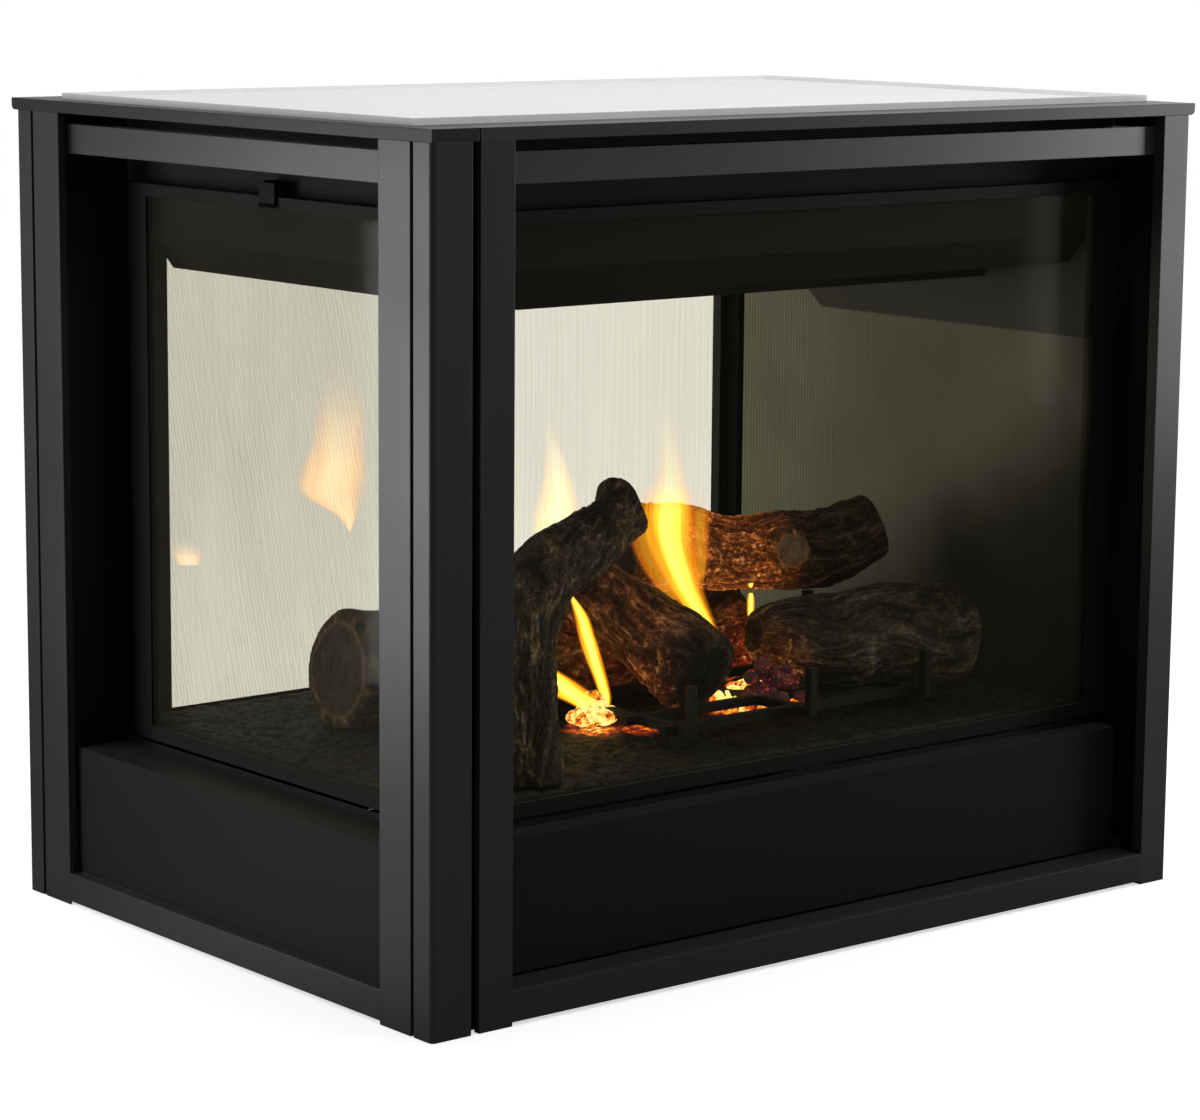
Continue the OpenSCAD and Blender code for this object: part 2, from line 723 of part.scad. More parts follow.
// Vent collars: the exhaust pipe with its stop bead, inside the intake collar on the casing, tied by three webs
module vent_collars() color("lightgray") place() {
  difference() {
    union() {
      along_rod(vent_v, vent_z, liner_u, body_w + collar_len, exhaust_r);
      along_rod(vent_v, vent_z, body_w + bead_at, body_w + bead_at + bead_w, exhaust_r + bead_rise);
    }
    along_rod(vent_v, vent_z, liner_u - 1, body_w + collar_len + 1, exhaust_r - collar_t);
  }
  difference() {
    union() {
      along_rod(vent_v, vent_z, body_w, body_w + collar_len, intake_r);
      along_rod(vent_v, vent_z, body_w, body_w + bead_rise, intake_r + collar_flange);
    }
    along_rod(vent_v, vent_z, body_w - 1, body_w + collar_len + 1, intake_r - collar_t);
  }
  for (k = [0:2])
    translate([body_w + 2, vent_v, vent_z]) rotate([k * 120 + 30, 0, 0])
      block([0, exhaust_r - collar_t / 2, -collar_t], [web_len, intake_r - collar_t / 2, collar_t]);
}

// Burner tray: an inverted pan with two rows of ports
module burner_tray() color([0.3, 0.3, 0.3]) place() difference() {
  block([box_in + tray_margin, box_in + tray_margin, tray_z], [liner_u - tray_margin, box_rear - tray_margin, bed_z]);
  block([box_in + tray_margin + box_t, box_in + tray_margin + box_t, tray_z - 1],
    [liner_u - tray_margin - box_t, box_rear - tray_margin - box_t, bed_z - box_t]);
  for (k = [0:port_rows - 1])
    for (v = [grate_v[0] + prong_at, grate_v[2] - prong_at])
      translate([port_start + k * port_pitch, v, bed_z - box_t - 1]) cylinder(h = box_t + 2, r = port_r);
}

// Burner tube: a mixer pipe from the valve that turns up through the firebox floor
module burner_tube() color("gray") place() {
  up = floor_hole;
  along_rod(up.y, valve_at, up.x + tube_bend, control_u - valve_w / 2, pipe_r);
  translate([up.x, up.y, valve_at + tube_bend]) cylinder(h = tray_z + floor_t - valve_at - tube_bend, r = pipe_r);
  translate([up.x + tube_bend, up.y, valve_at + tube_bend]) rotate([90, 0, 0]) rotate([0, 0, 180])
    rotate_extrude(angle = 90) translate([tube_bend, 0]) circle(pipe_r);
}

// Repeatable value from 0 to 1 for a pair of whole numbers
function hash(i, j) = let (h = abs(sin(i * 127.1 + j * 311.7) * 43758.5)) h - floor(h);

// Point on the smooth curve through the path at t, counted in path points; each point is x, y, z and radius
function along(path, t) = let (
  last = len(path) - 1,
  i = min(floor(t), last - 1),
  f = t - i,
  p0 = path[max(i - 1, 0)],
  p1 = path[i],
  p2 = path[i + 1],
  p3 = path[min(i + 2, last)]
) 0.5 * (2 * p1 + (p2 - p0) * f + (2 * p0 - 5 * p1 + 4 * p2 - p3) * f * f + (3 * p1 - p0 - 3 * p2 + p3) * f * f * f);

function unit(v) = v / norm(v);
function xyz(p) = [p.x, p.y, p.z];

// One ring of a log: bark ridges run along the log and wander a little, and both ends draw in
function log_ring(path, t, sides, seed) = let (
  last = len(path) - 1,
  q = along(path, t),
  ahead = along(path, min(t + 0.05, last)),
  behind = along(path, max(t - 0.05, 0)),
  axis = unit(xyz(ahead) - xyz(behind)),
  side = unit(cross(axis, abs(axis.z) > 0.8 ? [0, 1, 0] : [0, 0, 1])),
  up = cross(side, axis),
  edge = min(t, last - t),
  draw = edge < 0.12 ? 0.86 + edge : 1
) [for (k = [0:sides - 1]) let (
  a = 360 * k / sides,
  ridge = 0.6 * sin(5 * a + seed * 70 + 40 * t) + 0.8 * (hash(k + seed, floor(t * 3)) - 0.5),
  r = q[3] * draw * (1 + bark * ridge)
) xyz(q) + r * (cos(a) * side + sin(a) * up)];

// A log swept along a path, flat where it meets its seat below or, past load_u, its load above
module log_body(path, seat, load, load_u, sides, steps, seed) {
  last = len(path) - 1;
  rings = last * steps;
  skin = [for (j = [0:rings]) each log_ring(path, j / steps, sides, seed)];
  ends = [xyz(path[0]), xyz(path[last])];
  points = [for (p = concat(skin, ends)) [p.x, p.y, min(max(p.z, seat), p.x > load_u ? load : free)]];
  walls = [for (j = [0:rings - 1]) for (k = [0:sides - 1]) let (
    a = j * sides + k,
    b = j * sides + (k + 1) % sides
  ) each [[a, b, b + sides], [a, b + sides, a + sides]]];
  first = [for (k = [0:sides - 1]) [len(skin), (k + 1) % sides, k]];
  final = [for (k = [0:sides - 1]) [len(skin) + 1, rings * sides + k, rings * sides + (k + 1) % sides]];
  polyhedron(points, concat(walls, first, final));
}

// Log path counted from the near corner of the bed, sent to its place above the level z
function laid(path, z) = [for (p = path) [bed_u0 + p.x * log_k, bed_v0 + p.y * log_k, z + p.z * log_k, p[3] * log_k]];

// Branch log: an upright trunk at the front corner that bends over towards the middle and flares at its tip
module branch_log() color(bark_brown) place()
  log_body(laid([
    [140, 46, -2, 38], [142, 54, 46, 34], [150, 62, 96, 33], [172, 89, 150, 34],
    [234, 134, 190, 33], [324, 179, 211, 31], [392, 216, 234, 28], [416, 229, 241, 33]
  ], bed_low), bed_low + seat_gap, free, 0, log_sides, log_steps - 2, 1);

// Cross log: slopes down towards the front with its cut end on the grate
module cross_log() color(bark_brown) place()
  log_body(laid([[452, 132, 38, 50], [445, 194, 64, 48], [426, 274, 104, 41], [412, 344, 138, 35]], grate_top),
    log_seat, free, 0, log_sides, log_steps, 2);

// Back log: lies across the left log and the tall grate upright, with the stub of a cut branch
module back_log() color(bark_brown) place() {
  log_body(laid([[504, 350, 56, 58], [594, 342, 46, 49], [664, 316, 35, 39], [738, 268, 39, 42], [809, 229, 73, 39]], back_seat),
    back_seat + seat_gap, free, 0, log_sides, log_steps, 3);
  log_body(laid([[700, 290, 42, 25], [690, 262, 45, 25], [681, 238, 48, 25]], back_seat),
    back_seat + seat_gap, free, 0, stub_sides, stub_steps, 6);
}

// Right log: the thickest one, along the front of the grate
module right_log() color(bark_brown) place()
  log_body(laid([[554, 172, 52, 50], [644, 150, 54, 55], [734, 124, 53, 56], [829, 96, 51, 54]], grate_top),
    log_seat, free, 0, log_sides, log_steps, 4);

// Left log: lies on the ember bed behind the grate
module left_log() color(bark_brown) place()
  log_body(laid([[128, 378, 68, 67], [234, 372, 62, 64], [364, 360, 55, 60], [544, 357, 52, 59], [684, 358, 54, 58]], bed_low),
    bed_low + seat_gap, back_seat, load_u, log_sides, log_steps, 5);

// Distance from a point to the nearest flat pad of the ember bed
function segment_gap(p, a, b) = let (t = min(max((p - a) * (b - a) / ((b - a) * (b - a)), 0), 1)) norm(p - a - t * (b - a));
function pad_gap(p) = min([
  for (u = [grate_u, grate_u + 2 * grate_pitch]) for (v = [grate_v[0], grate_v[2]]) norm(p - [u, v]) - grate_bar,
  norm(p - trunk_foot) - trunk_pad,
  norm(p - pilot_at) - pilot_pad,
  segment_gap(p, left_log_line[0], left_log_line[1]) - log_pad
]);

// Ember bed: a mat of broken stones, level where the logs, the grate and the pilot stand
module ember_bed() color([0.08, 0.08, 0.08]) place() {
  nu = 44;
  nv = 28;
  du = (bed_u1 - bed_u0) / nu;
  dv = (bed_v1 - bed_v0) / nv;
  cell = norm([du, dv]);
  top = [for (j = [0:nv]) for (i = [0:nu]) let (
    p = [bed_u0 + (bed_u1 - bed_u0) * i / nu, bed_v0 + (bed_v1 - bed_v0) * j / nv],
    free_h = min(max((pad_gap(p) - cell) / 12, 0), 1)
  ) [p.x, p.y, bed_low + bed_bump * free_h * hash(i, j)]];
  n = nu + 1;
  count = len(top);
  corners = [[bed_u0, bed_v0, bed_z], [bed_u1, bed_v0, bed_z], [bed_u1, bed_v1, bed_z], [bed_u0, bed_v1, bed_z]];
  cells = [for (j = [0:nv - 1]) for (i = [0:nu - 1]) let (a = j * n + i)
    each [[a, a + n, a + n + 1], [a, a + n + 1, a + 1]]];
  sides = [
    fan([for (i = [0:nu]) i], count + 1, count),
    fan([for (i = [nu:-1:0]) nv * n + i], count + 3, count + 2),
    fan([for (j = [nv:-1:0]) j * n], count, count + 3),
    fan([for (j = [0:nv]) j * n + nu], count + 2, count + 1)
  ];
  under = [[count, count + 1, count + 2], [count, count + 2, count + 3]];
  polyhedron(concat(top, corners), concat(cells, [for (f = sides) each f], under));
}

// Faces of an upright side: its top points fan to the far lower corner, and one face closes the near one
function fan(rim, far, near) = concat([for (k = [0:len(rim) - 2]) [rim[k], rim[k + 1], far]], [[rim[0], far, near]]);

// Grate: three cross bars with upright front ends, three long bars, four legs and one tall upright
module grate() color([0.12, 0.12, 0.12]) place() {
  h = grate_bar / 2;
  u1 = grate_u + 2 * grate_pitch;
  v0 = grate_v[0] - prong_at;
  z0 = grate_top - grate_bar;
  for (k = [0:2]) {
    u = grate_u + k * grate_pitch;
    block([u - h, v0, z0], [u + h, grate_v[2] + h, grate_top]);
    block([u - h, v0, z0], [u + h, v0 + grate_bar, grate_top + grate_prong]);
  }
  for (v = grate_v)
    block([grate_u - bar_end, v - h, z0], [u1 + bar_end, v + h, grate_top]);
  for (u = [grate_u, u1])
    for (v = [grate_v[0], grate_v[2]])
      block([u - h, v - h, bed_low + seat_gap], [u + h, v + h, grate_top]);
  block([back_post.x - h, back_post.y - h, z0], [back_post.x + h, back_post.y + h, back_seat]);
}

// Pilot: hood, spark electrode and flame sensor on one plate
module pilot_assembly() color("silver") place() translate([pilot_at.x, pilot_at.y, bed_low + seat_gap]) {
  block([-22, -10, 0], [22, 10, box_t]);
  cylinder(h = 32, r = 6);
  translate([0, 0, 32]) cylinder(h = 6, r1 = 6, r2 = 9);
  translate([15, 0, 0]) cylinder(h = 40, r = 2);
  translate([-15, 0, 0]) cylinder(h = 38, r = 3);
}

// Gas valve: the valve block on its control plate, with the igniter housing and two shaft bores
module gas_valve() color([0.6, 0.6, 0.62]) place() difference() {
  u0 = control_u - valve_w / 2;
  u1 = control_u + valve_w / 2;
  z0 = valve_at - valve_h / 2;
  union() {
    block([u0, control_v, z0], [u1, control_v + valve_d, z0 + valve_h]);
    block([u0 - 12, control_v - plate_t, sheet], [button_u + 22, control_v, z0 + valve_h + 10]);
    block([u0 - 12, control_v - plate_t, sheet], [button_u + 22, control_v + 40, sheet + plate_t]);
    inward_rod(button_u, valve_at, control_v - eps, housing_end, button_r + 4);
    inward_rod(control_u, z0 + valve_h + 1, control_v + 14, control_v + valve_d - 10, 7);
  }
  for (s = [gas_knob_u, flame_knob_u])
    inward_rod(s, valve_at, control_v - plate_t - 1, control_v + stem_bore, stem_r + running_fit);
  inward_rod(button_u, valve_at, control_v - plate_t - 1, housing_end - 2, button_r + running_fit);
}

// Valve stem: slides in the valve when the gas knob is pressed
module valve_stem() color("silver") place()
  inward_rod(gas_knob_u, valve_at, knob_back - stem_grip, control_v + stem_bore - stem_push - 2, stem_r);

// Knob body with a grip bar across its face
module knob(s, radius) {
  inward_rod(s, valve_at, knob_back - knob_d, knob_back, radius);
  block([s - 4, knob_back - knob_d - 6, valve_at - radius + 2], [s + 4, knob_back - knob_d + 1, valve_at + radius - 2]);
}

// Gas knob: turns on the valve stem
module gas_knob() color([0.1, 0.1, 0.1]) place() difference() {
  knob(gas_knob_u, knob_r);
  inward_rod(gas_knob_u, valve_at, knob_back - stem_grip - seat_gap, knob_back + 1, stem_r + running_fit);
}

// Flame height knob with its own shaft
module flame_knob() color([0.1, 0.1, 0.1]) place() {
  knob(flame_knob_u, flame_knob_r);
  inward_rod(flame_knob_u, valve_at, knob_back - 1, control_v + stem_bore - 1, stem_r);
}

// Igniter button: a plunger that springs back out of its housing
module igniter_button() color("red") place() {
  inward_rod(button_u, valve_at, control_v - plate_t - stem_grip, housing_end - button_push - 3, button_r);
}

// Gas line: the pipe from the inlet socket to the valve, with the shut off valve in it
module gas_line() color([0.75, 0.6, 0.25]) place() difference() {
  union() {
    along_rod(pipe_v, valve_at, control_u + valve_w / 2, body_w - inlet_depth, pipe_r);
    along_rod(pipe_v, valve_at, body_w - inlet_depth - 7, body_w, inlet_r);
    along_rod(pipe_v, valve_at, stop_u - 26, stop_u + 26, pipe_r + 5.5);
    inward_rod(stop_u, valve_at, pipe_v - stop_face + 1, pipe_v, pipe_r);
  }
  along_rod(pipe_v, valve_at, control_u + valve_w / 2 - 1, stop_u - 12, pipe_bore);
  along_rod(pipe_v, valve_at, stop_u + 12, body_w, pipe_bore);
  along_rod(pipe_v, valve_at, body_w - inlet_depth, body_w + 1, inlet_bore);
  inward_rod(stop_u, valve_at, pipe_v - stop_face, pipe_v - 12, stem_r + running_fit);
}

// Shut off handle: a lever on a stem, in line with the pipe when the gas is open
module shutoff_handle() color([0.8, 0.7, 0.1]) place() {
  face = pipe_v - stop_face;
  inward_rod(stop_u, valve_at, face - 4, pipe_v - 13, stem_r);
  inward_rod(stop_u, valve_at, face - 5, face, pipe_r);
  block([stop_u, face - 5, valve_at - 6], [stop_u + handle_len, face - 1, valve_at + 6]);
}

base_pan();
front_left_post();
rear_left_post();
front_right_post();
rear_right_post();
front_stile();
rear_stile();
left_front_stile();
left_rear_stile();
front_cap();
left_cap();
rear_cap();
top_cover();
front_bar();
left_bar();
rear_bar();
front_rail();
left_rail();
rear_rail();
front_panel();
left_panel();
rear_panel();
panel_brackets();
front_glass_frame();
left_glass_frame();
rear_glass_frame();
front_glass();
left_glass();
rear_glass();
glass_gaskets();
front_latch();
left_latch();
rear_latch();
firebox_floor();
firebox_corners();
firebox_roof();
end_liner();
front_header();
left_header();
rear_header();
baffle();
end_casing();
vent_collars();
burner_tray();
burner_tube();
ember_bed();
grate();
branch_log();
cross_log();
back_log();
right_log();
left_log();
pilot_assembly();
gas_valve();
valve_stem();
gas_knob();
flame_knob();
igniter_button();
gas_line();
shutoff_handle();
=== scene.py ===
import json
import math

import bpy
import numpy as np
from mathutils import Matrix, Vector


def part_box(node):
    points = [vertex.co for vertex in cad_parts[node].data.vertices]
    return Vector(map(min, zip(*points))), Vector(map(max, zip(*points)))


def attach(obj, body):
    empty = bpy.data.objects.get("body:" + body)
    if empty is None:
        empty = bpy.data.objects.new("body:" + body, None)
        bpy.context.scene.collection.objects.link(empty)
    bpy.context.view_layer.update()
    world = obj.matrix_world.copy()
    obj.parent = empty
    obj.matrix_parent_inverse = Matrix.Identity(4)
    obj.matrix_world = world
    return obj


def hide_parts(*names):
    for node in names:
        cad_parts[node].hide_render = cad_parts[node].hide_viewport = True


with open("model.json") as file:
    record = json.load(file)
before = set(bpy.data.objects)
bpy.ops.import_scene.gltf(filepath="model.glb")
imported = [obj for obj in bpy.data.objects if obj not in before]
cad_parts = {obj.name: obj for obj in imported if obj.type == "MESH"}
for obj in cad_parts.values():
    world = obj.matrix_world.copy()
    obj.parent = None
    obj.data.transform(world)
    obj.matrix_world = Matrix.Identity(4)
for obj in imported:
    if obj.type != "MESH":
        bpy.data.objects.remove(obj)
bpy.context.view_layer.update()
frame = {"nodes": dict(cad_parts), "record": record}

# Lengths are in millimetres in the corner frame: u from the left face, v from the front face, z from the
# floor. The outer sizes, the bed and the levels that the logs lie on are read from the solids.
MM = 1000.0
SEAT_GAP = 0.3
CORNER = np.array(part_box("front_left_post")[0]) * MM
BODY_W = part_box("end_casing")[1][0] * MM - CORNER[0]
BODY_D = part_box("rear_left_post")[1][1] * MM - CORNER[1]
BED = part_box("branch_log")[0][2] * MM - SEAT_GAP
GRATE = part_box("right_log")[0][2] * MM - SEAT_GAP
BACK_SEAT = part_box("back_log")[0][2] * MM - SEAT_GAP
BED_LOW = np.array(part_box("ember_bed")[0]) * MM - CORNER
BED_HIGH = np.array(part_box("ember_bed")[1]) * MM - CORNER


def metres(points):
    """Corner frame millimetres to the part's own frame in metres."""
    return (np.asarray(points, float) + CORNER) / MM


# Camera, as fitted to the straight edges of the photograph: yaw, pitch and roll in radians, place in metres,
# lens and sensor in millimetres
CAMERA_TURN = (0.6881, 0.1676, 0.0078)
CAMERA_PLACE = (-2.68526, -3.23203, 1.08747)
CAMERA_LENS = 111.69
CAMERA_SENSOR = 36.0


def add_camera():
    """Camera that looks ahead by its yaw and pitch, rolled about the way that it looks."""
    yaw, pitch, roll = CAMERA_TURN
    ahead = Vector((math.sin(yaw) * math.cos(pitch), math.cos(yaw) * math.cos(pitch), -math.sin(pitch)))
    level = Vector((math.cos(yaw), -math.sin(yaw), 0))
    over = level.cross(ahead)
    right = level * math.cos(roll) + over * math.sin(roll)
    up = over * math.cos(roll) - level * math.sin(roll)
    data = bpy.data.cameras.new("camera")
    data.sensor_width = CAMERA_SENSOR
    data.lens = CAMERA_LENS
    data.clip_start, data.clip_end = 0.05, 100.0
    camera = bpy.data.objects.new("camera", data)
    turn = Matrix((right, up, -ahead)).transposed().to_4x4()
    camera.matrix_world = Matrix.Translation(CAMERA_PLACE) @ turn
    bpy.context.scene.collection.objects.link(camera)
    bpy.context.scene.camera = camera


# Mesh helpers

def add_piece(name, points, faces, body="root", smooth=True, uv=None, marks=None):
    """Mesh from points in corner frame millimetres and faces that index them, riding on a body.
    marks holds named values for each point, which the materials read."""
    mesh = bpy.data.meshes.new(name)
    mesh.from_pydata(metres(points).tolist(), [], [tuple(f) for f in faces])
    mesh.polygons.foreach_set("use_smooth", np.full(len(mesh.polygons), smooth))
    if uv is not None:
        layer = mesh.uv_layers.new(name="grain")
        loops = np.empty(len(mesh.loops), np.int32)
        mesh.loops.foreach_get("vertex_index", loops)
        layer.data.foreach_set("uv", np.asarray(uv, np.float32)[loops].ravel())
    for label, values in (marks or {}).items():
        mark = mesh.attributes.new(label, "FLOAT", "POINT")
        mark.data.foreach_set("value", np.asarray(values, np.float32).ravel())
    mesh.update()
    obj = bpy.data.objects.new(name, mesh)
    bpy.context.scene.collection.objects.link(obj)
    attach(obj, body)
    return obj


def ring_faces(rings, sides):
    """Quads that join each ring of a swept skin to the next one, all round."""
    j, k = np.meshgrid(np.arange(rings - 1), np.arange(sides), indexing="ij")
    a = (j * sides + k).ravel()
    b = (j * sides + (k + 1) % sides).ravel()
    return np.stack([a, b, b + sides, a + sides], 1)


def grid_faces(rows, cols):
    """Quads of a flat grid of rows by cols points."""
    j, i = np.meshgrid(np.arange(rows - 1), np.arange(cols - 1), indexing="ij")
    a = (j * cols + i).ravel()
    return np.stack([a, a + 1, a + 1 + cols, a + cols], 1)


# Steps after which the lattice of the noise repeats in x
LATTICE = 256


def lattice_noise(x, y, cells_y, seed):
    """Smooth value noise from 0 to 1: random values on a whole-number lattice, blended by a smooth step.
    The lattice repeats after cells_y steps in y, so that it closes round a log."""
    table = np.random.default_rng(seed).random((LATTICE + 1, cells_y))
    i, j = np.floor(x).astype(int), np.floor(y).astype(int)
    fx, fy = x - i, y - j
    fx, fy = fx * fx * (3 - 2 * fx), fy * fy * (3 - 2 * fy)
    i, j = i % LATTICE, j % cells_y
    up = (j + 1) % cells_y
    low = table[i, j] * (1 - fx) + table[i + 1, j] * fx
    high = table[i, up] * (1 - fx) + table[i + 1, up] * fx
    return low * (1 - fy) + high * fy


def smooth_path(path, t):
    """Catmull-Rom curve through the rows of path at the parameters t, counted in rows."""
    path = np.asarray(path, float)
    last = len(path) - 1
    i = np.minimum(np.floor(t).astype(int), last - 1)
    f = (t - i)[:, None]
    p0, p1 = path[np.maximum(i - 1, 0)], path[i]
    p2, p3 = path[i + 1], path[np.minimum(i + 2, last)]
    return 0.5 * (2 * p1 + (p2 - p0) * f + (2 * p0 - 5 * p1 + 4 * p2 - p3) * f ** 2
                  + (3 * p1 - p0 - 3 * p2 + p3) * f ** 3)


def unit(v):
    """Vectors of length 1 along the last axis."""
    return v / np.linalg.norm(v, axis=-1, keepdims=True)


# Logs

# Bark layers: width across the log and length along it in millimetres, weight, and 1 for plates between
# furrows or -1 for raised strands
BARK_LAYERS = ((30.0, 90.0, 0.45, 1), (13.0, 44.0, 0.6, -1), (6.5, 26.0, 0.8, -1), (3.6, 9.0, 0.5, 1))
# Sways of the bark from side to side: reach and length along the log in millimetres, and cells round it
BARK_SWAYS = ((34.0, 75.0, 4), (9.0, 22.0, 9))
# Shares of the last ring's size, ring by ring, over the broken face of a log
FACE_STEPS = np.array([0.82, 0.64, 0.46, 0.28, 0.12, 0.02])
# Millimetres from a log's end over which its edge is rounded
EDGE_ROUND = 8.0


def bark_height(run, turn, girth, seed):
    """Bark relief, about -1 to 1, over run (millimetres along the log) and turn (0 to 1 round it).
    Each layer folds a noise that is stretched along the log: its middle value is a furrow or a strand. The
    layers sway together from side to side, so that the strands twist and split."""
    total = np.zeros_like(run)
    sway = sum(reach * (lattice_noise(run / length, turn * cells, cells, seed + 40 + k) - 0.5)
               for k, (reach, length, cells) in enumerate(BARK_SWAYS))
    for step, (width, length, weight, way) in enumerate(BARK_LAYERS):
        cells = max(int(round(girth / width)), 4)
        across = (turn * cells + sway / width) % cells
        along = run / length + 7 * step + 0.4 * np.sin(6 * np.pi * turn)
        fold = np.abs(2 * lattice_noise(along, across, cells, seed + step) - 1)
        total += weight * way * (2 * fold ** 0.65 - 1)
    return total / 1.5


def path_frame(centre):
    """Unit vectors along a path and two across it, carried from each point to the next without a twist."""
    axis = unit(np.gradient(centre, axis=0))
    side = np.empty_like(axis)
    side[0] = unit(np.cross(axis[0], [0, 0, 1.0] if abs(axis[0][2]) < 0.8 else [0, 1.0, 0]))
    for k in range(1, len(axis)):
        side[k] = unit(side[k - 1] - axis[k] * np.dot(side[k - 1], axis[k]))
    return axis, side, np.cross(side, axis)


def broken_face(ring, centre, outward, turn, place, seed):
    """Rings that close a log: its last ring drawn in step by step towards the centre, bulged outwards and
    dented by a coarse and a fine noise, whose values place picks."""
    rings = []
    for s in FACE_STEPS:
        dent = 5.0 * (lattice_noise(np.full(len(turn), s * 7 + place), turn * 11, 11, seed + 31) - 0.5) * s
        dent += 2.4 * (lattice_noise(np.full(len(turn), s * 17 + place), turn * 31, 31, seed + 32) - 0.5)
        bulge = 2.5 * (1 - s) + dent
        rings.append(centre + (ring - centre) * s + outward * bulge[:, None])
    return np.array(rings)


def bark_log(name, nodes, path, base, seat, seed, rough, sides, rings, lobes=0.0, load=math.inf,
             load_u=0.0):
    """Log swept along a path of x, y, z and radius, counted from the near corner of the bed and above base.
    Each ring is a circle in the plane across the path, with slow swells, two lobes at the far end and the
    bark relief added to its radius. The ends draw in over a rough rim and close with a broken face. Points
    below the seat, or above the load past load_u, lie on it."""
    path = np.asarray(path, float) + [BED_LOW[0], BED_LOW[1], base, 0]
    q = smooth_path(path, np.linspace(0, len(path) - 1, rings))
    centre, radius = q[:, :3], q[:, 3]
    axis, side, over = path_frame(centre)
    run = np.concatenate([[0], np.cumsum(np.linalg.norm(np.diff(centre, axis=0), axis=1))])
    turn = np.arange(sides) / sides
    R, T = np.meshgrid(run, turn, indexing="ij")
    ang = 2 * np.pi * T
    swell = 0.16 * (lattice_noise(R / 55.0, T * 5, 5, seed + 20) - 0.5)
    swell += 0.04 * np.sin(4 * np.pi * T + R / 50.0)
    swell += lobes * np.exp(-(run[-1] - R) / 22.0) * np.cos(2 * ang + 0.8)
    draw = np.clip(np.minimum(R, run[-1] - R) / EDGE_ROUND, 0, 1)
    edge = 0.86 + 0.14 * np.sqrt(draw * (2 - draw))
    relief = bark_height(R, T, 2 * np.pi * radius.mean(), seed)
    r = radius[:, None] * (1 + swell) * edge + rough * relief * (0.4 + 0.6 * draw)
    across = np.cos(ang)[..., None] * side[:, None] + np.sin(ang)[..., None] * over[:, None]
    skin = centre[:, None] + r[..., None] * across
    head = broken_face(skin[0], centre[0], -axis[0], turn, 0, seed)
    tail = broken_face(skin[-1], centre[-1], axis[-1], turn, rings - 1, seed)
    every = np.concatenate([head[::-1], skin, tail])
    every[..., 2] = np.maximum(every[..., 2], seat)
    every[..., 2] = np.where(every[..., 0] > load_u, np.minimum(every[..., 2], load), every[..., 2])
    count = len(every)
    faces = ring_faces(count, sides).tolist()
    faces.append(list(range(sides))[::-1])
    faces.append([(count - 1) * sides + k for k in range(sides)])

    depth = len(FACE_STEPS)
    past = np.linspace(0.005, 0.03, depth)
    along = np.concatenate([np.linspace(-0.03, -0.005, depth), run / MM, run[-1] / MM + past])
    cut = np.concatenate([np.linspace(1, 0.6, depth), np.zeros(rings), np.linspace(0.6, 1, depth)])
    flat = np.full((depth, sides), 0.35)
    marks = {
        "relief": np.concatenate([flat, relief * 0.35 + 0.5, flat]),
        "cut": np.repeat(cut, sides),
    }
    uv = np.stack([np.repeat(along, sides), np.tile(np.abs(turn * 2 - 1), count)], 1)
    obj = add_piece(name, every.reshape(-1, 3), faces, uv=uv, marks=marks)
    if nodes:
        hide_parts(*nodes)
    return obj


# Material helpers

